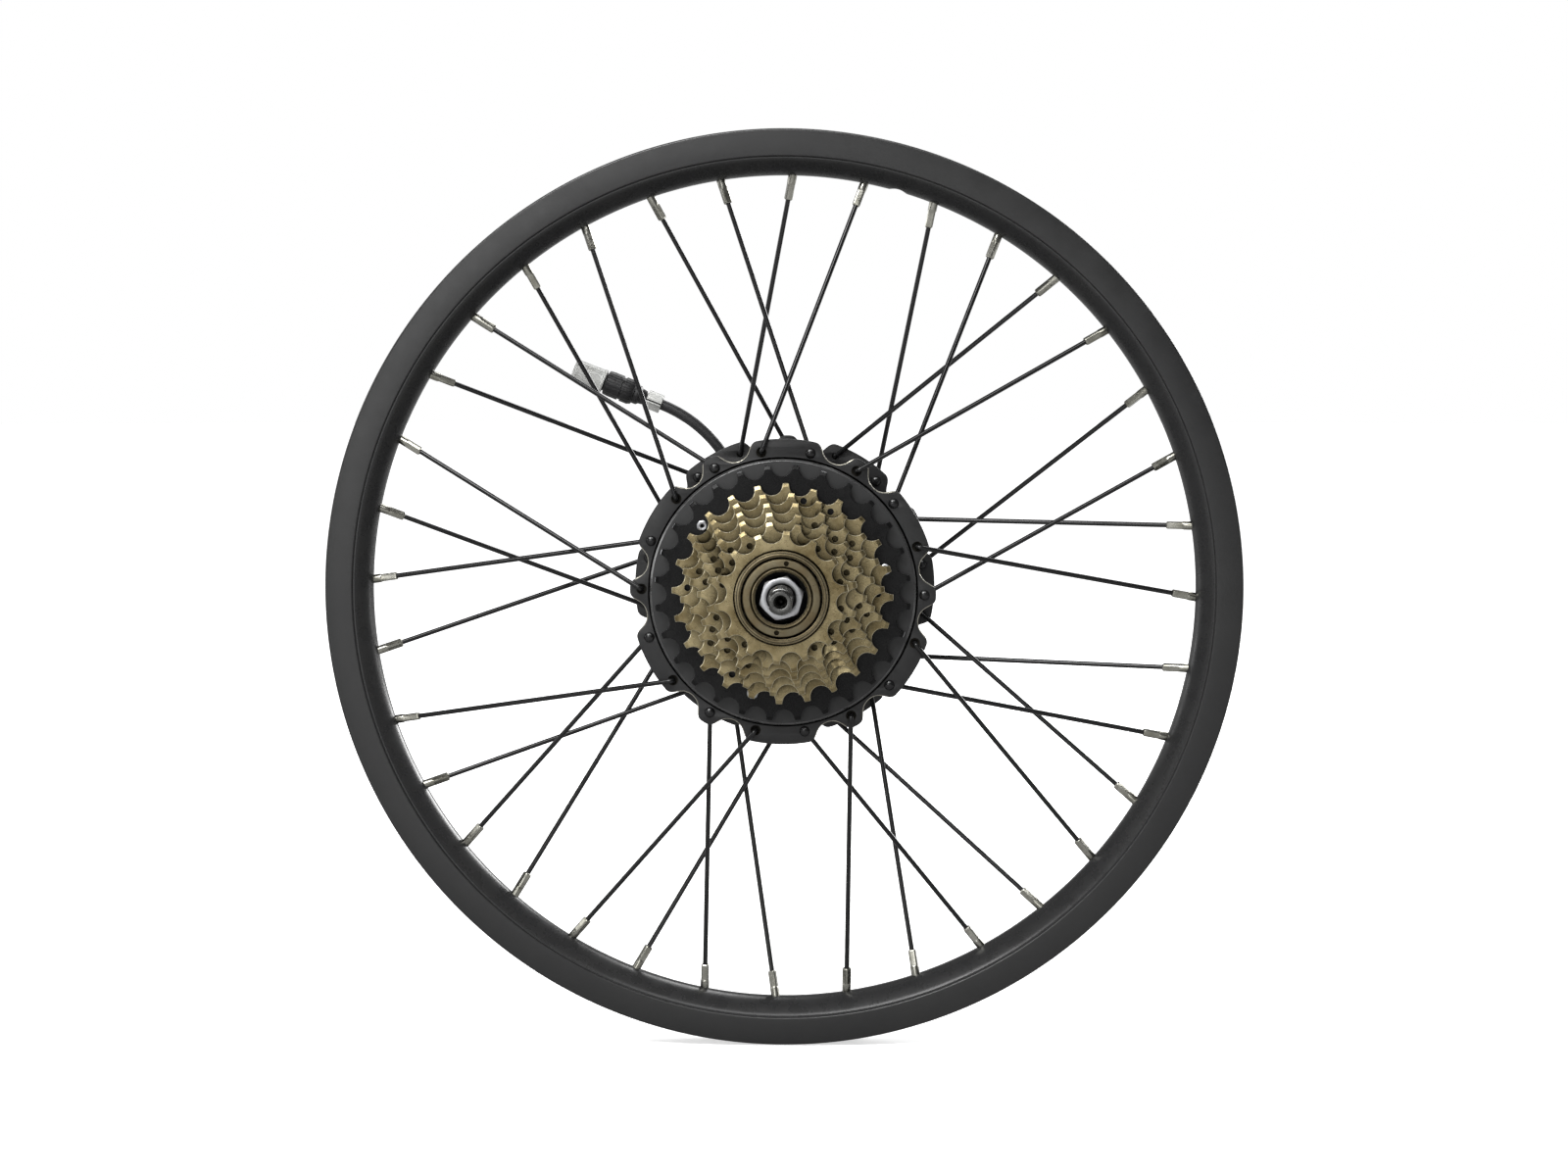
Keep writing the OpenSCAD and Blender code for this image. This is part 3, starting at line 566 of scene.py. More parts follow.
mats["spoke"] = finish(
    "spoke_gloss_black", base=(0.0045, 0.0045, 0.005), tint=grey(0.008), tint_scale=60,
    rough=0.2, rough_var=0.04, spec=0.28, grain=2000, grain_bump=0.05,
    coat=0.15, coat_rough=0.08,
)
mats["nipple"] = finish(
    "nipple_plate", base=(0.40, 0.395, 0.355), tint=(0.22, 0.215, 0.18), tint_scale=120,
    rough=0.24, metallic=1.0, grain=2600, grain_bump=0.03, painted_shade=0.8,
)
mats["gold"] = finish(
    "sprocket_gold_plate", base=(0.33, 0.274, 0.154), tint=(0.15, 0.115, 0.055),
    tint_scale=85, rough=0.32, rough_var=0.14, metallic=1.0, grain=1900, grain_bump=0.30,
    edge=(0.60, 0.56, 0.43), edge_amount=0.75, edge_reach=0.0003, specks=0.2,
    painted_shade=1.0, painted_shade_range=(0.3, 1.0),
)
# painted highlight: a brighter copy of the gold plate for the sprocket chamfers
mats["gold_painted_highlight"] = finish(
    "sprocket_gold_edge", base=(0.52, 0.475, 0.35), tint=(0.36, 0.31, 0.20), tint_scale=70,
    rough=0.30, rough_var=0.09, metallic=1.0, grain=1900, grain_bump=0.2,
)
mats["bronze"] = finish(
    "freewheel_bronze", base=(0.125, 0.098, 0.055), tint=(0.165, 0.145, 0.095),
    tint_scale=110, rough=0.38, rough_var=0.10, metallic=1.0, painted_shade=1.0, grain=1700,
    grain_bump=0.12, turning=0.3, edge=(0.50, 0.45, 0.33), edge_amount=0.7, specks=0.3,
)
mats["ringgold"] = finish(
    "freewheel_turned", base=(0.20, 0.165, 0.098), tint=(0.15, 0.12, 0.07), tint_scale=120,
    rough=0.30, rough_var=0.05, metallic=1.0, painted_shade=1.0, grain_bump=0.0, turning=0.12,
    edge=(0.60, 0.56, 0.43), edge_amount=0.8,
)
mats["cogblack"] = finish(
    "sprocket_black", base=(0.0018, 0.0018, 0.002), tint=grey(0.006), tint_scale=50,
    rough=0.28, spec=0.15, grain=2200, grain_bump=0.28,
    edge=(0.30, 0.30, 0.31), edge_amount=0.35,
)
mats["zinc"] = finish(
    "zinc_plate", base=(0.50, 0.505, 0.515), tint=(0.43, 0.435, 0.45), tint_scale=160,
    rough=0.36, rough_var=0.10, metallic=1.0, painted_shade=0.85, grain=1500, grain_bump=0.35,
    brushed=0.25, edge=grey(0.95), edge_amount=0.5, specks=0.25,
)
mats["axle"] = finish(
    "axle_steel", base=(0.125, 0.125, 0.12), tint=(0.08, 0.08, 0.078), tint_scale=180,
    rough=0.26, rough_var=0.10, metallic=1.0, painted_shade=1.0, grain=1500, grain_bump=0.06,
    turning=0.2, edge=(0.62, 0.62, 0.6), edge_amount=0.8, edge_reach=0.0003,
)
mats["blacksteel"] = finish(
    "black_oxide_steel", base=(0.03, 0.03, 0.032), tint=grey(0.05), tint_scale=90,
    rough=0.38, metallic=0.6, grain_bump=0.2, edge=grey(0.25), edge_amount=0.5,
)
mats["jacket"] = finish(
    "cable_jacket", base=(0.014, 0.014, 0.015), tint=(0.02, 0.02, 0.021), tint_scale=60,
    rough=0.42, spec=0.4, grain=2600, grain_bump=0.12,
)
mats["plug"] = finish(
    "plug_plastic", base=(0.008, 0.008, 0.0085), tint=(0.013, 0.013, 0.0135),
    tint_scale=120, rough=0.42, spec=0.35, grain=2800, grain_bump=0.12,
    edge=grey(0.09), edge_amount=0.4,
)
mats["cover"] = finish(
    "cover_satin_grey", base=(0.014, 0.014, 0.0143), tint=grey(0.019), tint_scale=30,
    rough=0.42, rough_var=0.06, spec=0.38, painted_shade=0.6, grain=2400, grain_bump=0.25,
    peel=0.2, edge=grey(0.12), edge_amount=0.5,
)
# painted highlight: a lighter metal for the cover's rounded outer edge
mats["cover_edge_highlight"] = finish(
    "painted_cover_edge_highlight", base=grey(0.16), tint=grey(0.08), tint_scale=50,
    rough=0.30, metallic=0.85, grain_bump=0.1,
)
# bare metal and painted highlight for the scallop edges of the drive flange
mats["bare_metal_and_highlight"] = finish(
    "bare_edge_and_highlight", base=(0.40, 0.38, 0.32), tint=(0.25, 0.24, 0.2), tint_scale=80,
    rough=0.35, rough_var=0.1, metallic=0.9, grain_bump=0.2,
)
# painted shade: a dark material for gaps, bores and countersinks
mats["bore"] = finish(
    "painted_shade_black", base=(0.012, 0.011, 0.009), tint=(0.02, 0.018, 0.014), tint_scale=90,
    rough=0.5, metallic=0.2, grain_bump=0.2, spec=0.25,
)
mats["milky"] = finish(
    "milky_cap", base=(0.60, 0.605, 0.585), tint=(0.55, 0.555, 0.53), tint_scale=150,
    rough=0.34, rough_var=0.04, grain_bump=0.0, alpha=0.86,
)
mats["rubber"] = finish(
    "seal_rubber", base=grey(0.014), tint=grey(0.022), tint_scale=140,
    rough=0.6, grain_bump=0.4,
)
mats["steel"] = finish(
    "ground_steel", base=(0.55, 0.56, 0.58), tint=(0.46, 0.47, 0.49), tint_scale=150,
    rough=0.22, rough_var=0.05, metallic=1.0, grain_bump=0.1, turning=0.5,
)
mats["gearsteel"] = finish(
    "gear_steel", base=(0.38, 0.385, 0.40), tint=(0.30, 0.305, 0.32), tint_scale=120,
    rough=0.34, metallic=1.0, grain_bump=0.2, turning=0.4, edge=grey(0.7), edge_amount=0.5,
)
mats["lam"] = finish(
    "stator_steel", base=(0.24, 0.25, 0.27), tint=(0.19, 0.2, 0.21), tint_scale=90,
    rough=0.42, metallic=0.9, grain_bump=0.3, turning=0.5,
)
mats["copper"] = finish(
    "winding_copper", base=(0.62, 0.28, 0.12), tint=(0.5, 0.2, 0.08), tint_scale=240,
    rough=0.28, metallic=1.0, grain=900, grain_bump=0.6, coat=0.6,
)
mats["board"] = finish(
    "board_green", base=(0.02, 0.16, 0.07), tint=(0.03, 0.2, 0.09), tint_scale=200,
    rough=0.3, grain_bump=0.15, coat=0.3,
)
mats["nylon"] = finish(
    "gear_nylon", base=(0.74, 0.72, 0.64), tint=(0.68, 0.66, 0.57), tint_scale=120,
    rough=0.42, grain_bump=0.2, sss=0.2,
)
mats["magnet"] = finish(
    "magnet_nickel", base=(0.52, 0.51, 0.49), tint=(0.44, 0.43, 0.42), tint_scale=90,
    rough=0.25, metallic=1.0, grain_bump=0.1,
)

SLOT_MATERIALS = {
    "axle_steel": "axle", "zinc": "zinc", "black_steel": "blacksteel",
    "bearing_steel": "steel", "lamination": "lam", "copper": "copper", "board": "board",
    "gear_steel": "gearsteel", "cable_jacket": "jacket", "plug_plastic": "plug",
    "clear_plastic": "milky", "rim_black": "rim", "nipple_brass": "nipple",
    "spoke_black": "spoke", "casing_black": "casing", "seal_rubber": "rubber",
    "freewheel_gold": "gold", "freewheel_bronze": "bronze", "magnet": "magnet",
    "nylon": "nylon", "sprocket_black": "cogblack",
}


def dress_cad_pieces():
    for part in frame["record"]["subparts"]:
        slots = frame["nodes"][part["node"]].data.materials
        mat = mats[SLOT_MATERIALS[part["material_slot"]]]
        if not slots:
            slots.append(mat)
        for i in range(len(slots)):
            slots[i] = mat
    # painted shade: the balls and pawl springs are made dark, so the gap they show through reads as
    # shade
    for name in ("freewheel_balls", "pawl_springs"):
        if name in frame["nodes"]:
            slots = frame["nodes"][name].data.materials
            for i in range(len(slots)):
                slots[i] = mats["bore"]


# ------------------------------------------------------------------ rim
# half profiles of (radius, z, corner radius)
BED_HALF = [
    (BED_RADIUS, 0), (BED_RADIUS + 0.25, 2.2), (BED_RADIUS + 1.15, 4.4),
    (BED_RADIUS + 2.6, 6.6), (BED_RADIUS + 4.5, 8.8), (BED_RADIUS + 6.5, 10.7),
    (BED_RADIUS + 7.7, 11.6),
]
SIDE_HALF = [
    (BED_RADIUS + 8.3, 11.7, 0.2), (BED_RADIUS + 8.45, 12.0, 0.1),
    (BED_RADIUS + 8.9, RIM_HALF, 1.3), (RIM_RADIUS, RIM_HALF, 0.9),
    (RIM_RADIUS, RIM_HALF - 2.1, 0.7), (RIM_RADIUS - 1.6, RIM_HALF - 2.1, 0.5),
    (RIM_RADIUS - 2.6, RIM_HALF - 1.7, 0.4), (SEAT_RADIUS + 0.5, RIM_HALF - 1.6, 0.8),
    (SEAT_RADIUS - 0.1, RIM_HALF - 5, 1.0), (SEAT_RADIUS - 1.7, RIM_HALF - 6.4, 1.0),
    (SEAT_RADIUS - 3.9, RIM_HALF - 6.9, 0.8), (SEAT_RADIUS - 4.2, RIM_HALF - 8.6, 0.5),
]
CAVITY_HALF = [
    (BED_RADIUS + 2, 0, 0), (BED_RADIUS + 2.1, 3.2, 0.5), (BED_RADIUS + 3.4, 5.6, 0.8),
    (BED_RADIUS + 5.3, 7.9, 0.8), (BED_RADIUS + 7.7, 9.8, 0.8),
    (BED_RADIUS + 9.5, RIM_HALF - 2.2, 0.5), (SEAT_RADIUS - 2.2, RIM_HALF - 2.4, 0.4),
    (SEAT_RADIUS - 2, RIM_HALF - 4.6, 0.4), (SEAT_RADIUS - 3.4, RIM_HALF - 6.2, 0.4),
    (SEAT_RADIUS - 5.8, RIM_HALF - 7.2, 0.4), (SEAT_RADIUS - 5.8, 0, 0),
]


def lace(side):
    """The spokes of one side; every second one runs outside its flange."""
    first = FIRST_DRIVE if side > 0 else FIRST_BRAKE
    spokes = []
    for k in range(SPOKES_PER_SIDE):
        odd = k % 2 == 1
        lean = LEAN if odd else -LEAN
        spokes.append(Spoke(side, first + 20 * k, odd == (side > 0), lean))
    return spokes


LACE = lace(1) + lace(-1)


def flange_middle(side):
    return FLANGE_DRIVE if side > 0 else FLANGE_BRAKE


def spoke_ends(spoke):
    """The corner of a spoke's bend at the hub, and its end at the rim."""
    offset = FLANGE_THICK / 2 + 2.5 if spoke.outside else -FLANGE_THICK / 2 - 1.25
    x, y = polar(spoke.angle, HOLE_CIRCLE)
    u, v = polar(spoke.angle + spoke.lean, BED_RADIUS)
    z = flange_middle(spoke.side) + spoke.side * offset
    return Vector((x, y, z)), Vector((u, v, 0.0))


def radial_rod(angle, radius, depth, inner, outer, segments):
    """A rod that points out along a spoke of the circle and ends at the outer radius."""
    matrix = aim((*polar(angle, inner), 0), (*polar(angle, outer), 0))
    return moved(rod(radius, -depth, 0, segments), matrix)


def build_rim():
    section = curve_through(BED_HALF, 4) + fillet(SIDE_HALF, 4) + [(SEAT_RADIUS - 4.2, 0)]
    outside = lathe(mirrored(section), 432, RIM_START)
    cavity = lathe(mirrored(fillet(CAVITY_HALF, 2)), 216, RIM_START)
    shape = joined([outside, cavity])
    rim = make("rim_body", shape, "rim", "wheel", "rim", sharp=40)
    cuts = []
    for spoke in LACE:
        # a hole for the nipple and a wider one through the seat above it
        cuts.append(moved(rod(2.15, -4, 4.6, 24), aim(*spoke_ends(spoke))))
        angle = spoke.angle + spoke.lean
        cuts.append(radial_rod(angle, 4.0, 11.2, SEAT_RADIUS - 8, SEAT_RADIUS + 3, 32))
    # a single hole through bed and seat
    cuts.append(radial_rod(16, 4.25, 17.1, BED_RADIUS - 3, SEAT_RADIUS + 2, 40))
    carve(rim, cuts)
    # the spoke bed is glossier than the side walls
    paint(rim, "bed", lambda face: (
        face.radius < BED_RADIUS + 8.3 and abs(face.z) < 11.9 and face.outward < 0
    ))


# ------------------------------------------------------------------ spokes and nipples
# (radius, z, corner radius)
SPOKE_HEAD = [
    (0, -0.02), (2.3, -0.02, 0.25), (2.34, 0.35, 0.3), (1.9, 1.1, 0.8), (1.1, 1.5, 0.8),
    (0, 1.62),
]
# (z, radius, squareness): 1 is a square with cut corners, 0 is round
NIPPLE_ROWS = [
    (-11.3, 1.16, 0), (-11.3, 1.6, 1), (-11.15, 1.8, 1), (-10.85, 1.96, 1),
    (-10.5, 2.0, 1), (-4.2, 2.0, 1), (-3.9, 2.0, 0.75), (-3.5, 2.0, 0.25),
    (-3.2, 2.0, 0), (-1.2, 2.0, 0), (3.2, 2.0, 0), (3.45, 2.3, 0), (4.2, 2.95, 0),
    (5.3, 2.95, 0), (5.75, 2.4, 0), (5.8, 1.16, 0), (-3.0, 1.14, 0),
]


def spoke_shapes(spoke):
    """The bent wire and its domed head."""
    corner, rim_end = spoke_ends(spoke)
    # the way the wire leaves its head through the flange
    up = spoke.side * (1 if spoke.outside else -1)
    head_z = flange_middle(spoke.side) - up * FLANGE_THICK / 2
    along = (rim_end - corner).normalized()
    bend = 2.3 if spoke.outside else 1.33  # length from the corner to each end of the bend
    start, end = corner - Vector((0, 0, up)) * bend, corner + along * bend
    path = [
        Vector((corner.x, corner.y, z))
        for z in (head_z - up * 0.6, head_z + up * 0.4, start.z - up * 0.02)
    ]
    for k in range(1, 11):
        f = k / 10
        path.append((1 - f) ** 2 * start + 2 * f * (1 - f) * corner + f * f * end)
    for k in range(1, 13):
        path.append(end + (rim_end + along * 2.4 - end) * (k / 12))
    head = lathe(fillet(SPOKE_HEAD, 4), 28)
    matrix = standing(corner.x, corner.y, head_z, flipped=up > 0)
    return [tube(path, 1.1, 20), moved(head, matrix)]


def build_spokes():
    for side, name in ((1, "spokes_drive"), (-1, "spokes_brake")):
        parts = []
        for spoke in lace(side):
            parts += spoke_shapes(spoke)
        make(name + "_set", joined(parts), "spoke", "wheel", name, sharp=50)


def nipple(spoke, turn):
    points = []
    count = 40
    for z, radius, squareness in NIPPLE_ROWS:
        for i in range(count):
            a = 2 * math.pi * i / count
            square = min(1.0, 0.825 / max(abs(math.cos(a)), abs(math.sin(a))))
            r = radius * (square * squareness + 1 - squareness)
            points.append((r * math.cos(a + turn), r * math.sin(a + turn), z))
    shape = points, ring_faces(len(NIPPLE_ROWS), count)
    return moved(shape, aim(*spoke_ends(spoke)))


def build_nipples():
    shape = joined([nipple(spoke, rng.uniform(0, 1.5)) for spoke in LACE])
    make("nipples_set", shape, "nipple", "wheel", "nipples", sharp=28)


# ------------------------------------------------------------------ hub shell and flanges
# (radius, z, corner radius)
BARREL = [
    (50.9, BRAKE_FACE), (61.6, BRAKE_FACE, 0.3), (61.6, BRAKE_FACE + FLANGE_THICK, 0.5),
    (60.5, BRAKE_FACE + 5.6, 1.5), (57.5, BRAKE_FACE + 11.6, 4),
    (56.5, BRAKE_FACE + 14, 4), (56.5, DRIVE_FACE - 12, 4), (57.5, DRIVE_FACE - 9.6, 4),
    (60.5, DRIVE_FACE - 5, 1.5), (61.6, DRIVE_FACE - FLANGE_THICK, 0.5),
    (61.6, DRIVE_FACE, 0.3), (50.9, DRIVE_FACE),
]
COUNTERSINK = [(0, -1.2), (1.25, -1.2), (2.45, 0.06), (2.45, 0.6), (0, 0.6)]


def scallops(first):
    """Centres of the six pairs of scallops; first is the angle of a spoke hole."""
    angles = [first - 10 + 60 * k + e for k in range(6) for e in (-20, 20)]
    return [polar(angle, SCALLOP_CIRCLE) for angle in angles]


def flange_outline(first):
    """Scans inwards at every half degree for the edge, then eases its small corners."""
    count = 720
    hollows = scallops(first)
    holes = polar_ring(SPOKES_PER_SIDE, first, HOLE_CIRCLE)
    points = []
    for i in range(count):
        angle = i * 0.5
        to_lobe = min(abs((angle - (first - 10 + 60 * k) + 180) % 360 - 180) for k in range(6))
        r = LOBE_RADIUS
        sx, sy = math.sin(angle * RAD), math.cos(angle * RAD)
        while r > 61:
            x, y = r * sx, r * sy
            solid = not near(x, y, hollows, SCALLOP_RADIUS)
            if solid and r > 66.3 and to_lobe > 10:
                solid = near(x, y, holes, 5.7)
            if solid:
                break
            r -= 0.02
        points.append((r * sx, r * sy))
    for _ in range(3):
        points = [
            tuple((points[i - 1][c] + 2 * p[c] + points[(i + 1) % count][c]) / 4 for c in (0, 1))
            for i, p in enumerate(points)
        ]
    return points


def flange(first, z0, z1):
    loops = [flange_outline(first), circle(0, 0, 57.0, 180)]
    for x, y in polar_ring(SPOKES_PER_SIDE, first, HOLE_CIRCLE):
        loops.append(circle(x, y, 1.3, 24))
    return plate(loops, z0, z1, bevel=0.35)


def build_hub():
    shape = joined([
        lathe(fillet(BARREL, 4), 216),
        flange(FIRST_DRIVE, DRIVE_FACE - FLANGE_THICK, DRIVE_FACE),
        flange(FIRST_BRAKE + 40, BRAKE_FACE, BRAKE_FACE + FLANGE_THICK),
    ])
    hub = make("hub_shell_body", shape, "casing", "wheel", "hub_shell", sharp=30)
    # the holes of the outside spokes are countersunk
    sinks, sunk = [], {1: [], -1: []}
    for spoke in LACE:
        if spoke.outside:
            x, y = polar(spoke.angle, HOLE_CIRCLE)
            z = DRIVE_FACE if spoke.side > 0 else BRAKE_FACE
            sinks.append(moved(lathe(COUNTERSINK, 32), standing(x, y, z, spoke.side < 0)))
            sunk[spoke.side].append((x, y))
    carve(hub, sinks, 30)
    hollows = scallops(FIRST_DRIVE)
    # bare metal and painted highlight on the rounded edges of the drive flange's scallops
    paint(hub, "bare_metal_and_highlight", lambda face: (
        face.z > DRIVE_FACE - 0.36
        and face.radius > 61.8
        and abs(face.facing) < 0.985
        and near(face.x, face.y, hollows, 8.3)
    ))
    # painted shade: dark countersinks
    paint(hub, "bore", lambda face: (
        abs(face.facing) < 0.97
        and 61.5 < face.radius < 67
        and near(face.x, face.y, sunk[1 if face.z > 0 else -1], 2.4)
    ))


# ------------------------------------------------------------------ covers
# (radius, z, corner radius)
DRIVE_COVER = [
    (50, 19.2), (53.9, 19.2), (53.9, DRIVE_FACE + 0.02), (59.7, DRIVE_FACE + 0.02),
    (59.9, DRIVE_FACE + 0.4, 0.1), (60.5, DRIVE_FACE + 0.5, 0.15),
    (60.5, DRIVE_FACE + 1.5, 0.35), (59.6, DRIVE_FACE + 2.4, 0.3),
    (30, DRIVE_FACE + 2.4, 0.8), (27, DRIVE_FACE + 2.7, 0.8),
    (24.5, DRIVE_FACE + 3.2, 0.3), (21, DRIVE_FACE + 3.2, 0.3), (21, 31, 0.2),
    (17.4, 31), (17.4, 43.6, 0.2), (17, 44, 0.2), (14, 44), (14, 33), (12.6, 33),
    (12.6, 25.2, 0.3), (48, 25.2, 0.5), (50, 23.2, 0.5),
]
BRAKE_COVER = [
    (51, BRAKE_FACE - 12.5, 1), (49, BRAKE_FACE - 14.6, 1), (17.5, BRAKE_FACE - 14.6, 0.3),
    (17.5, -48.2), (14.5, -48.2), (14.5, -52.2, 0.3), (28.4, -52.2, 0.3),
    (29, -51.6, 0.3), (29, -44.5, 1.2), (31.5, -43.4, 2), (49.5, -41.2, 5),
    (53.2, -38.6, 3), (54.4, -36, 3), (54.4, BRAKE_FACE - 3.5, 0.8),
    (60.1, BRAKE_FACE - 3.5, 0.3), (60.5, BRAKE_FACE - 3.1, 0.3),
    (60.5, BRAKE_FACE - 0.5, 0.15), (59.9, BRAKE_FACE - 0.4, 0.1),
    (59.7, BRAKE_FACE - 0.02), (51, BRAKE_FACE - 0.02),
]
SCREW_PLACES = polar_ring(9, FIRST_DRIVE, 57.5)
SCREW_Z = BRAKE_FACE - 3.5  # the rim of the brake cover, under the heads
SOCKET_RADIUS = 1.3  # to a corner of the hexagon
SCREW = [
    (0, SCREW_Z + 9.4), (1.25, SCREW_Z + 9.4, 0.2), (1.45, SCREW_Z + 9.0, 0.2),
    (1.45, SCREW_Z), (2.5, SCREW_Z, 0.1), (2.5, SCREW_Z - 1.1, 0.7),
    (1.9, SCREW_Z - 2.1, 0.5), (1.5, SCREW_Z - 2.3, 0.1),
]
SOCKET = [(SOCKET_RADIUS, SCREW_Z - 2.25), (SOCKET_RADIUS, SCREW_Z - 0.6), (0, SCREW_Z - 0.6)]


def build_covers():
    shape = lathe(fillet(DRIVE_COVER), 216)
    cover = make("cover_drive_body", shape, "cover", "wheel", "cover_drive",
                 sharp=30)
    # painted highlight: a bright line on the rounded outer edge
    paint(cover, "cover_edge_highlight", lambda face: (
        face.radius > 59.45 and face.z > DRIVE_FACE + 1.3 and 0.25 < face.facing < 0.97
    ))
    shape = lathe(fillet(BRAKE_COVER, 4), 216)
    cover = make("cover_brake_body", shape, "casing", "wheel", "cover_brake",
                 sharp=30)
    cuts = copies(rod(2.5, -53, -42.2), polar_ring(6, 0, 22))
    cuts += copies(rod(1.7, -30, -20, 24), SCREW_PLACES)
    carve(cover, cuts)


def screw(turn):
    """A button-head screw with a hexagonal socket."""

    def hexagon(r, z, a):
        if abs(r - SOCKET_RADIUS) < 1e-6:
            off_flat = ((a - turn) % (math.pi / 3)) - math.pi / 6
            r = SOCKET_RADIUS * math.cos(math.pi / 6) / math.cos(off_flat)
        return r

    return lathe(fillet(SCREW) + SOCKET, 36, turn, hexagon)


def build_cover_screws():
    parts = []
    for place in SCREW_PLACES:
        parts += copies(screw(rng.uniform(0, 1)), [place])
    make("cover_screws_set", joined(parts), "blacksteel", "wheel", "cover_screws")


# ------------------------------------------------------------------ freewheel
# (radius, z, corner radius)
CORE = [
    (17.43, 31), (22.6, 31, 0.2), (22.6, 33.6, 0.2), (19.6, 34.2), (19.6, 52.6, 0.2),
    (17, 53.4), (17, 57.4), (13.4, 57.4), (13.4, 66.2, 0.2), (13.1, 66.5, 0.12),
    (12.75, 66.5, 0.05),
]
CORE_BORE = [
    (11.8, 66.2), (11.8, 60), (11.8, 54), (11.8, 49), (11.8, 45.2), (17.43, 44.2),
]
# (x, y): a pocket for a pawl, with a round seat for its pivot
PAWL_POCKET = [
    (1.9, 17.2), (1.9, 20.8), (-9.6, 20.8), (-9.6, 14.1), (-0.2, 15.53), (0.34, 15.57),
    (0.9, 15.78), (1.35, 16.15), (1.66, 16.7),
]
CONE = [
    (13.5, 57.6), (15.9, 57.6), (15.9, 62.3, 0.2), (17.5, 62.8, 0.2), (17.5, 65.5, 0.1),
    (17.1, 66.1, 0.25), (14.2, 66.15, 0.25), (13.6, 65.8, 0.15),
]
FREEWHEEL_BODY = [
    (22.95, 31.2, 0.2), (24.5, 31.2, 0.3), (24.5, 54), (21.4, 54), (21.4, 63.0),
    (20.9, 63.3), (20.9, 65.3, 0.2), (20.6, 65.6, 0.1), (20.3, 65.6), (20.2, 65.1),
    (19.95, 65.1), (19.85, 65.7, 0.1), (19.1, 65.75, 0.1), (19.0, 65.4, 0.1),
    (18.35, 65.3, 0.15), (18.1, 64.9, 0.1), (18.05, 62.9), (19.2, 62.2), (19.2, 54),
    (21.2, 52.4), (21.2, 45.2), (19.9, 45.0), (19.9, 39), (22.95, 38.6),
]


def spline_radius(r, z, a):
    """Twelve grooves in the bore of the core."""
    off_middle = abs((a % (math.pi / 6)) - math.pi / 12)
    if r < 12.1 and 50 < z < 62 and off_middle < 0.062:
        r = r + 0.85 * min(1, (0.062 - off_middle) / 0.012)
    return r


def build_freewheel():
    shape = lathe(fillet(CORE) + CORE_BORE, 360, radius_at=spline_radius)
    core = make("freewheel_core_body", shape, "ringgold", "wheel",
                "freewheel_core", sharp=30)
    pockets = [[(x * turn, y * turn) for x, y in PAWL_POCKET] for turn in (1, -1)]
    carve(core, [prism(pocket, 46.0, 51.4) for pocket in pockets], 30)
    # painted shade: the bore of the core and its grooves are made dark
    paint(core, "bore", lambda face: face.radius < 12.68 and face.z < 66.15)

    cone = make("freewheel_cone_body", lathe(fillet(CONE), 216), "bronze", "wheel",
                "freewheel_cone", sharp=30)
    carve(cone, copies(rod(1.2, 64, 68), polar_ring(2, 8, 15.6)))

    make("freewheel_body_ring", lathe(fillet(FREEWHEEL_BODY), 216), "ringgold", "freewheel",
         "freewheel_body", sharp=30)


# ------------------------------------------------------------------ sprockets
# teeth, angle of the first tooth, bore radius, radius of the hole circle, hole angles
COGS = [
    (28, 6.0, BIG_BORE, RIVET_CIRCLE, RIVET_ANGLES),
    (24, 1.8, BIG_BORE, 43, (12.7, 30.2, 90, 212, 273.7)),
    (22, 5.2, BIG_BORE, 38.9, (53.7, 102.7, 236, 285.6)),
    (20, 8.3, BIG_BORE, 34.8, (24.8, 43, 60.8, 97.5, 116, 206, 225, 244, 280, 298)),
    (18, -8.7, BIG_BORE, 30.8, (49.6, 69.8, 110, 131, 232, 252, 292, 312)),
    (16, -9.6, SMALL_BORE, 26.9, (36.7, 75.6, 101, 125, 147, 218, 282, 305, 328)),
    (14, 4.4, SMALL_BORE, 0, ()),
]
# across the tip, as a share of its half width, and how far below the full height
TIP = [(-0.86, 0.12), (-0.62, 0.02), (-0.2, 0), (0.2, 0), (0.62, 0.02), (0.86, 0.12)]
TIP_HEIGHT = 1.4  # above the pitch circle
VALLEY_RADIUS = 4.95
VALLEY_DEPTH = 4.0  # below the pitch circle
# teeth of the black sprocket whose tips carry painted glints
GLINT_TEETH = (1, 21, 22, 23, 24, 26, 8)  # of the black sprocket
# (radius from the rivet's middle, z, corner radius)
RIVET = [
    (0.8, 31.3, 0.1), (2.2, 31.3, 0.3), (2.6, 31.95, 0.1), (1.45, 31.95), (1.45, 34.05),
    (2.6, 34.05, 0.1), (2.5, 34.4, 0.2), (1.9, 34.7, 0.2), (0.95, 34.6, 0.2),
    (0.8, 34.2, 0.1),
]


def pitch_radius(teeth):
    return PITCH_HALF / math.sin(math.pi / teeth)


def tooth_at(x, y, teeth, first):
    return int(round((math.degrees(math.atan2(x, y)) - first) / (360 / teeth))) % teeth


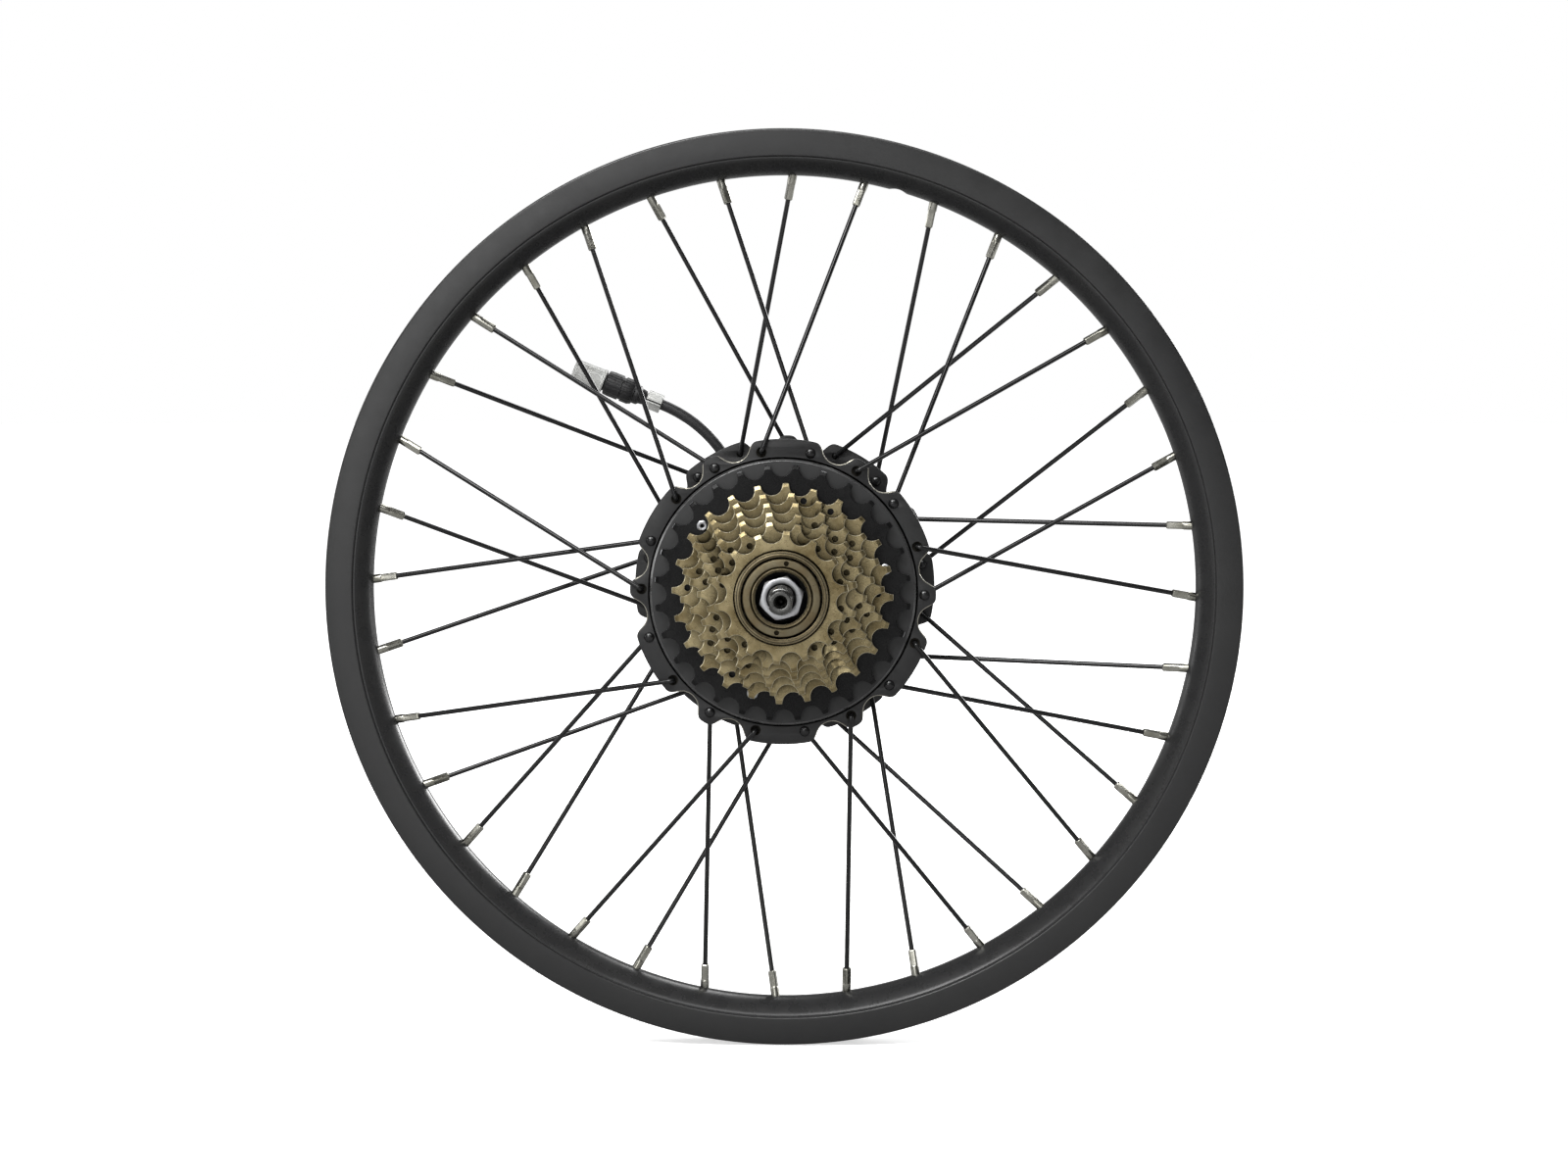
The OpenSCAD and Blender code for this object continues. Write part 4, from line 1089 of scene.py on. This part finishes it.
def cog_outline(teeth, first, trim):
    """Valleys and tips in turn; trim gives how far some teeth are cut back."""
    pitch = pitch_radius(teeth)
    tip = pitch + TIP_HEIGHT
    half_tip = (math.pi * tip / teeth - VALLEY_RADIUS) / tip
    out = []
    for k in range(teeth):
        valley = first * RAD + (k + 0.5) * 2 * math.pi / teeth
        tooth = first * RAD + (k + 1) * 2 * math.pi / teeth
        # a valley, as one arc that is widest just under the tips
        for i in range(21):
            g = (-71 + i * 7.1) * RAD
            x = VALLEY_RADIUS * math.sin(g)
            y = pitch + (VALLEY_RADIUS - VALLEY_DEPTH) - VALLEY_RADIUS * math.cos(g)
            s, c = math.sin(valley), math.cos(valley)
            out.append((y * s + x * c, y * c - x * s))
        for across, below in TIP:
            g = tooth + half_tip * across
            out.append(((tip - below) * math.sin(g), (tip - below) * math.cos(g)))
    cut = []
    for x, y in out:
        limit = tip - trim.get(tooth_at(x, y, teeth, first), 0)
        scale = min(1, limit / math.hypot(x, y))
        cut.append((x * scale, y * scale))
    return cut


def cog_shape(teeth, first, bore, z, trim):
    """A sprocket laid out in columns from bore to toothed edge and back: a bevelled edge,
    a sloping chamfer on every tooth tip and flat faces."""
    outline = [np.array(p) for p in cog_outline(teeth, first, trim)]
    count = len(outline)
    slope_start = pitch_radius(teeth) - 0.35
    draws = random.Random(teeth)
    drive_slopes = [draws.choice((0.34, 0.40, 0.46, 0.30)) for _ in range(teeth)]
    brake_slopes = [draws.choice((0.10, 0.2, 0.3)) for _ in range(teeth)]
    points = []
    for i, edge in enumerate(outline):
        tangent = outline[(i + 1) % count] - outline[i - 1]
        tangent /= np.linalg.norm(tangent)
        inward = np.array([-tangent[1], tangent[0]])
        if inward @ edge > 0:
            inward = -inward
        inset = edge + inward * 0.2
        inset_radius = np.linalg.norm(inset)
        ray = inset / inset_radius
        flat = ray * min(slope_start, inset_radius - 0.2)
        k = tooth_at(edge[0], edge[1], teeth, first)
        inset_rise = max(0.0, inset_radius - slope_start)
        edge_rise = max(0.0, np.linalg.norm(edge) - slope_start)
        points += [
            (*(ray * bore), z + 0.85),
            (*(ray * (bore + 0.15)), z + 1.0),
            (*flat, z + 1.0),
            (*inset, z + 1.0 - inset_rise * drive_slopes[k]),
            (*edge, z + 0.84 - edge_rise * drive_slopes[k]),
            (*edge, z - 0.84 + edge_rise * brake_slopes[k]),
            (*inset, z - 1.0 + inset_rise * brake_slopes[k]),
            (*flat, z - 1.0),
            (*(ray * (bore + 0.15)), z - 1.0),
            (*(ray * bore), z - 0.85),
        ]
    return points, ring_faces(count, 10)


def shift_ramps(teeth, first, z):
    """Cutters for shallow ramps in the drive-side face below some valleys."""
    cuts = []
    for k in (1, teeth // 3 + 1, teeth // 2 + 1, 5 * teeth // 6):
        angle = first + (k + 0.5) * 360 / teeth
        x, y = polar(angle - 3, pitch_radius(teeth) - 4.6)
        tilt = Matrix.Rotation(-angle * RAD, 4, "Z") @ Matrix.Rotation(7 * RAD, 4, "X")
        cuts.append(moved(rod(3.3, 0, 3.0, 36), Matrix.Translation((x, y, z + 0.62)) @ tilt))
    return cuts


def build_cog(index, teeth, first, bore, hole_circle, hole_angles):
    z = FIRST_COG_Z + COG_STEP * index
    pitch = pitch_radius(teeth)
    black = teeth == 28
    trim = {}
    if not black:
        for k in (1, teeth // 2 + 1):
            trim[k % teeth] = 0.75
            trim[(k + 1) % teeth] = 0.3
    name = "sprocket_%d" % teeth
    material, slot = ("cogblack", "sprocket_black") if black else ("gold", "freewheel_gold")
    shape = cog_shape(teeth, first, bore, z, trim)
    cog = make(name + "_plate", shape, material, "freewheel", name, sharp=11)
    if hole_angles:
        places = [polar(angle, hole_circle) for angle in hole_angles]
        carve(cog, copies(rod(1.5, z - 3, z + 3, 28), places), 11)
    if 14 < teeth < 28:
        carve(cog, shift_ramps(teeth, first, z), 11)
    if black:
        # painted glints: bright metal on the tips of a few teeth
        paint(cog, "zinc", lambda face: (
            face.radius > pitch + 0.55
            and face.facing > 0.55
            and tooth_at(face.x, face.y, teeth, first) in GLINT_TEETH
        ))
    else:
        # painted highlight: a brighter gold on the chamfer faces along the toothed edge
        paint(cog, "gold_painted_highlight", lambda face: (
            0.5 < face.facing < 0.88 and face.radius > pitch - 4.6
        ))


def build_cog_spacers():
    rings = []
    for i in range(len(COGS) - 1):
        z = FIRST_COG_Z + COG_STEP * i + 1
        outer, inner = (27.5 - 0.1 * i, BIG_BORE) if i < 4 else (23.4, SMALL_BORE)
        profile = [(inner, z), (outer, z, 0.3), (outer, z + 3, 0.3), (inner, z + 3)]
        rings.append(lathe(fillet(profile, 2), 144))
    make("sprocket_spacer_set", joined(rings), "bronze", "freewheel",
         "sprocket_spacers", sharp=30)


def build_rivets():
    places = [polar(angle, RIVET_CIRCLE) for angle in RIVET_ANGLES]
    shape = joined(copies(lathe(fillet(RIVET), 32), places))
    make("sprocket_rivet_set", shape, "zinc", "freewheel", "sprocket_rivets", sharp=30)


# ------------------------------------------------------------------ axle, locknut, spacer
# (radius, z, corner radius): the drilled end, mirrored at the brake side
AXLE_TAIL = [
    (5.4, 88.3), (4.95, 88.8, 0.1), (4.85, 89.7, 0.1), (4.55, 90.0, 0.1), (3.1, 90.0, 0.1),
    (2.8, 89.5), (1.7, 88.4, 0.1), (1.6, 84.0), (0, 83),
]
AXLE_SHOULDER = [(8.5, -5.2), (8.5, -67.0), (8.2, -67.5), (AXLE_RADIUS, -67.5)]


def thread_radius(r, z, a):
    if r == AXLE_RADIUS and (z > 60.7 or z < -67.6):
        phase = (z / THREAD_PITCH - a / (2 * math.pi)) % 1.0
        r = AXLE_RADIUS - 0.72 * abs(2 * phase - 1) * (1 if abs(z) < 87.6 else 0.6)
    return r


def build_axle():
    tail = fillet(AXLE_TAIL, 2)[:-1]
    step = THREAD_PITCH / 8
    plain = [-5.2, *np.arange(0, 60.5, 10.0)]
    drive = [(AXLE_RADIUS, z) for z in (*plain, *np.arange(60.8, 88.2, step))]
    brake = [(AXLE_RADIUS, -z) for z in np.arange(67.7, 88.2, step)]
    profile = [(0.0, 83.0)] + tail[::-1] + drive[::-1] + AXLE_SHOULDER + brake
    profile += [(r, -z) for r, z in tail] + [(0.0, -83.0)]
    points, faces = lathe(profile, 96, radius_at=thread_radius)
    # both ends are flattened on two sides
    points = [
        (max(-5.0, min(5.0, x)) if abs(z) > 67.55 else x, y, z) for x, y, z in points
    ]
    axle = make("axle_shaft", (points, faces), "axle", "axle_assembly", "axle",
                sharp=38)
    # the hole that the cable leaves by
    up_the_cable = Matrix.Rotation(CABLE_LEAN, 4, "Z") @ Matrix.Rotation(-90 * RAD, 4, "X")
    matrix = Matrix.Translation((0, 0, CABLE_Z)) @ up_the_cable
    carve(axle, [moved(rod(3.0, 0, 12), matrix)])


def nut_radius(r, z, a):
    if r > 8.9:
        r = min(9.0 / math.cos(a % (math.pi / 3) - math.pi / 6), r)
    return r


def build_locknut_and_spacer():
    profile = [(6.05, 61.0), (9.6, 61.0), (10.0, 61.15), (10.3, 61.4), (10.45, 61.8)]
    # the outer face rounds over its corners
    profile += [(10.45 - 1.35 * (k / 6) ** 1.5, 65.6 + 1.75 * (k / 6)) for k in range(7)]
    profile += [(8.95, 67.42), (8.7, 67.5), (6.8, 67.5), (6.65, 67.45), (6.05, 66.8)]
    nut = turned(lathe(profile, 180, radius_at=nut_radius), 14.5 - 90)
    make("locknut_hex", nut, "zinc", "axle_assembly", "locknut", sharp=26)
    profile = [(6.05, 41), (7.9, 41, 0.2), (7.9, 61, 0.2), (6.05, 61)]
    make("spacer_tube", lathe(fillet(profile, 2), 96), "blacksteel", "axle_assembly",
         "spacer")


# ------------------------------------------------------------------ cable and plug
# (radius, distance along, corner radius)
STRAIN_RELIEF = [
    (2.52, 8.5), (3.3, 8.5, 0.3), (3.6, 10, 0.4), (3.7, 11, 0.4), (4.5, 11.8, 0.4),
    (4.6, 12.6, 0.3), (4.6, 14.25, 0.1), (2.52, 14.25),
]
PLUG_REAR = [(0, 14.27), (5.0, 14.27, 0.3), (5.95, 14.9, 0.4)]
PLUG_GROOVE = [(5.98, 19.5, 0.3), (5.35, 19.9, 0.2), (5.35, 21.1, 0.2), (5.98, 21.5, 0.3)]
PLUG_FRONT = [
    (5.98, 27.9, 0.5), (5.3, 28.6, 0.3), (4.3, 28.6, 0.2), (4.3, 37.0, 0.4),
    (3.9, 37.4, 0.3), (0, 37.4),
]
PLUG_CAP = [
    (4.36, 29.4, 0.1), (5.6, 29.4, 0.3), (5.6, 30.5, 0.3), (5.25, 30.9, 0.3), (5.2, 36),
    (5.1, 43.9, 0.9), (4.5, 45, 0.7), (0, 45), (0, 44), (4.3, 43.9, 0.6), (4.36, 36),
]


def cable_point(s):
    """Point on the cable's middle line at distance s from the axle's middle."""
    c, n = math.cos(CABLE_LEAN), math.sin(CABLE_LEAN)
    if s <= CABLE_RUN:
        return Vector((-s * n, s * c, CABLE_Z))
    t = min((s - CABLE_RUN) / CABLE_BEND_RADIUS, CABLE_BEND)
    x = -CABLE_RUN * n + CABLE_BEND_RADIUS * (math.cos(CABLE_LEAN + t) - c)
    y = CABLE_RUN * c + CABLE_BEND_RADIUS * (math.sin(CABLE_LEAN + t) - n)
    rest = s - CABLE_RUN - CABLE_BEND_RADIUS * t
    x -= math.sin(PLUG_HEADING) * rest
    y += math.cos(PLUG_HEADING) * rest
    return Vector((x, y, CABLE_Z))


def heading_matrix(heading, origin):
    """Matrix that lays +Z along a heading, measured anticlockwise from the top."""
    z = Vector((-math.sin(heading), math.cos(heading), 0))
    x = Vector((math.cos(heading), math.sin(heading), 0))
    matrix = Matrix((x, z.cross(x), z)).transposed().to_4x4()
    matrix.translation = origin
    return matrix


AT_AXLE = heading_matrix(CABLE_LEAN, Vector((0, 0, CABLE_Z)))
AT_PLUG = heading_matrix(PLUG_HEADING, cable_point(CABLE_END))


def build_cable():
    # out along the axle, round a tight bend, then away to the plug
    path = [Vector((0, 0, -35.5)), Vector((0, 0, -54))]
    for k in range(1, 9):
        g = k / 9 * math.pi / 2
        out = 4 * (1 - math.cos(g))
        x, y = -out * math.sin(CABLE_LEAN), out * math.cos(CABLE_LEAN)
        path.append(Vector((x, y, -55 - 4 * math.sin(g))))
    path += [cable_point(s) for s in np.arange(5.0, CABLE_END + 16.5, 1.5)]
    path.append(cable_point(CABLE_END + 16.8))
    make("cable_jacket", tube(path, 2.5, 28), "jacket", "axle_assembly",
         "cable", sharp=40)


def build_grommet():
    profile = [(2.52, 8.8), (5.2, 8.8, 0.3), (5.0, 10.5, 0.4), (4.0, 11.3, 0.3)]
    for k in range(5):
        # a rib and the groove after it
        z = 12.2 + k * 1.9
        r = 3.95 - 0.14 * k
        profile += [(r, z, 0.15), (r, z + 1.1, 0.15)]
        profile += [(r - 0.55, z + 1.2, 0.1), (r - 0.55, z + 1.8, 0.1)]
    profile += [(3.3, 21.9, 0.3), (2.52, 21.9)]
    make("cable_grommet_boot", moved(lathe(fillet(profile, 2), 64), AT_AXLE), "rubber",
         "axle_assembly", "cable_grommet")


def knurl_radius(r, z, a):
    if r > 5.6 and (14.9 < z < 19.4 or 21.7 < z < 27.6):
        r -= 0.16 * max(0.0, math.cos(a * 18))
    return r


def build_plug():
    make("plug_strain_relief", moved(lathe(fillet(STRAIN_RELIEF), 64), AT_PLUG), "plug",
         "axle_assembly", "plug_boot")
    profile = fillet(PLUG_REAR) + [(5.98, 16), (5.98, 18.5)]
    profile += fillet(PLUG_GROOVE) + [(5.98, 23), (5.98, 26)] + fillet(PLUG_FRONT)
    make("plug_shell", moved(lathe(profile, 144, radius_at=knurl_radius), AT_PLUG), "plug",
         "axle_assembly", "plug_body", sharp=30)
    make("plug_cap_cup", moved(lathe(fillet(PLUG_CAP, 4), 96), AT_PLUG), "milky",
         "axle_assembly", "plug_cap", sharp=35)


def build_clip():
    """A short split sleeve with a flat two-leaf tab."""
    outer, inner = 4.4, 2.55
    outer_gap, inner_gap = 0.16, 0.14  # half angles of the split
    loop = []
    for k in range(49):
        a = -math.pi / 2 + outer_gap + (2 * math.pi - 2 * outer_gap) * k / 48
        loop.append((outer * math.cos(a), outer * math.sin(a)))
    loop += [(-0.9, -6.5), (-0.35, -6.5), (-0.35, -2.9)]
    for k in range(33):
        a = -math.pi / 2 - inner_gap - (2 * math.pi - 2 * inner_gap) * k / 32
        loop.append((inner * math.cos(a), inner * math.sin(a)))
    loop += [(0.35, -2.9), (0.35, -6.5), (0.9, -6.5)]
    make("cable_clip_sleeve", moved(plate([loop], 0.4, 7.8, bevel=0.3), AT_PLUG), "milky",
         "axle_assembly", "cable_clip", sharp=35)


# ------------------------------------------------------------------ floor, light, camera
def floor_material():
    mat, graph, bsdf = new_surface("pale_floor")
    graph.set(bsdf, Roughness=0.9, Specular_IOR_Level=0.1, Emission_Color=(1, 1, 1))
    place = graph.node("TexCoord").outputs["Object"]
    patches = graph.node("TexNoise", Scale=3.0, Detail=2.0, Vector=place).outputs["Fac"]
    # full white to the camera; to the wheel it is a duller card, as a big studio sheet is
    seen = graph.node("LightPath").outputs["Is Camera Ray"]
    # the sheet fades to pure white away from the wheel, where no shadow falls
    distance = graph.node("VectorMath", operation="LENGTH", Vector=place).outputs["Value"]
    glow = graph.ramp(distance, (0.6, 1.05), (0.5, 1.5))
    graph.set(
        bsdf,
        Roughness=graph.ramp(patches, (0.88, 0.92)),
        Base_Color=graph.mix(seen, grey(0.40), grey(0.92)),
        Emission_Strength=graph.math("MULTIPLY", seen, glow),
    )
    return mat


def build_floor():
    """One round sheet and no wall, so the wheel can be seen from every side."""
    z = CAD_BOX[0][2] - 0.0004
    count = 96
    points, faces = [(0, 0, z)], []
    for r in (0.5, 1.5, 3.5, 9.0):
        points += [(x, y, z) for x, y in circle(0, 0, r, count)]
    for k in range(count):
        n = (k + 1) % count
        faces.append((0, 1 + k, 1 + n))
        for ring in range(3):
            a, b = 1 + ring * count, 1 + (ring + 1) * count
            faces.append((a + k, b + k, b + n, a + n))
    mesh = bpy.data.meshes.new("studio_floor")
    mesh.from_pydata(points, [], faces)
    mesh.materials.append(floor_material())
    add_object("studio_floor", mesh)


def area(name, place, size, power, target=(0, 0, 0), size_y=None):
    """A rectangular light aimed at a target, in metres and watts."""
    light = bpy.data.lights.new(name, "AREA")
    light.energy = power
    light.shape = "RECTANGLE"
    light.size = size
    light.size_y = size_y or size
    ob = add_object(name, light)
    ob.location = place
    ob.rotation_euler = (Vector(target) - Vector(place)).to_track_quat("-Z", "Y").to_euler()
    ob.visible_camera = False


def build_lights():
    area("key_softbox", place=(-0.75, -1.55, 1.55), size=0.9, power=34)
    area("top_softbox", place=(-0.1, -1.3, 1.5), size=1.5, power=20, size_y=0.7)
    area("side_softbox", place=(-1.9, -0.3, 0.5), size=0.8, power=7)
    area("front_card", place=(-0.55, -2.6, 0.45), size=0.9, power=9)
    area("back_softbox", place=(0.6, 1.5, 2.3), size=0.9, power=20)
    area("back_key", place=(1.35, 1.6, 0.7), size=0.9, power=36)
    area("floor_bounce", place=(-0.1, -0.75, -0.2), size=1.6, power=0.9,
         target=(0, 0.1, 0.15), size_y=0.7)
    area("side_card_left", place=(-1.8, 0.6, 0.05), size=0.8, power=6)
    area("side_card_right", place=(1.8, 0.6, 0.05), size=0.8, power=6)


def build_world():
    world = bpy.data.worlds.new("studio")
    bpy.context.scene.world = world
    graph = Graph(world)
    place = graph.node("TexCoord").outputs["Generated"]
    x, y, z = graph.node("SeparateXYZ", Vector=place).outputs
    # a dim room behind the camera, darker to the right
    front = graph.math(
        "MULTIPLY", graph.ramp(x, (0.36, 0.15), (-0.5, 0.5)), graph.ramp(y, (1.0, 0.0), (-0.2, 0.5))
    )
    # beyond the wheel it is bright low down and dark above
    back = graph.math(
        "MULTIPLY", graph.ramp(z, (0.62, 0.05), (0.1, 0.5)), graph.ramp(y, (0.0, 1.0), (-0.2, 0.5))
    )
    room = graph.math("ADD", front, back)
    # a little more light from overhead
    room = graph.math("ADD", room, graph.ramp(z, (0.0, 0.15), (0.4, 0.95)))
    # the camera itself sees plain white
    seen = graph.node("LightPath").outputs["Is Camera Ray"]
    mix = graph.node("Mix", data_type="FLOAT")
    for i, value in ((0, seen), (2, room), (3, 1.0)):
        graph.feed(mix.inputs[i], value)
    background = graph.node("Background", Strength=mix.outputs[0], Color=(1, 1, 1))
    graph.node("OutputWorld", Surface=background.outputs[0])


def build_camera():
    """Looks at the middle of the freewheel side, from slightly above and to the right."""
    distance = 2.0
    view_width = 0.721  # metres seen across at that distance
    elevation, azimuth = 4.0 * RAD, 1.0 * RAD
    camera = bpy.data.cameras.new("camera")
    camera.sensor_width = 36
    camera.lens = 36 * distance / view_width
    camera.clip_start, camera.clip_end = 0.05, 50
    ob = bpy.data.objects.new("camera", camera)
    ob.location = (
        distance * math.sin(azimuth) * math.cos(elevation),
        -distance * math.cos(azimuth) * math.cos(elevation),
        distance * math.sin(elevation),
    )
    ob.rotation_euler = (-Vector(ob.location)).to_track_quat("-Z", "Y").to_euler()
    scene = bpy.context.scene
    scene.view_settings.view_transform = "Standard"
    scene.view_settings.look = "None"
    scene.view_settings.exposure = 0.0
    scene.collection.objects.link(ob)
    scene.camera = ob


# ------------------------------------------------------------------ build
dress_cad_pieces()
build_rim()
build_spokes()
build_nipples()
build_hub()
build_covers()
build_cover_screws()
build_freewheel()
for index, cog_row in enumerate(COGS):
    build_cog(index, *cog_row)
build_cog_spacers()
build_rivets()
build_axle()
build_locknut_and_spacer()
build_cable()
build_grommet()
build_plug()
build_clip()
build_floor()
build_lights()
build_world()
build_camera()
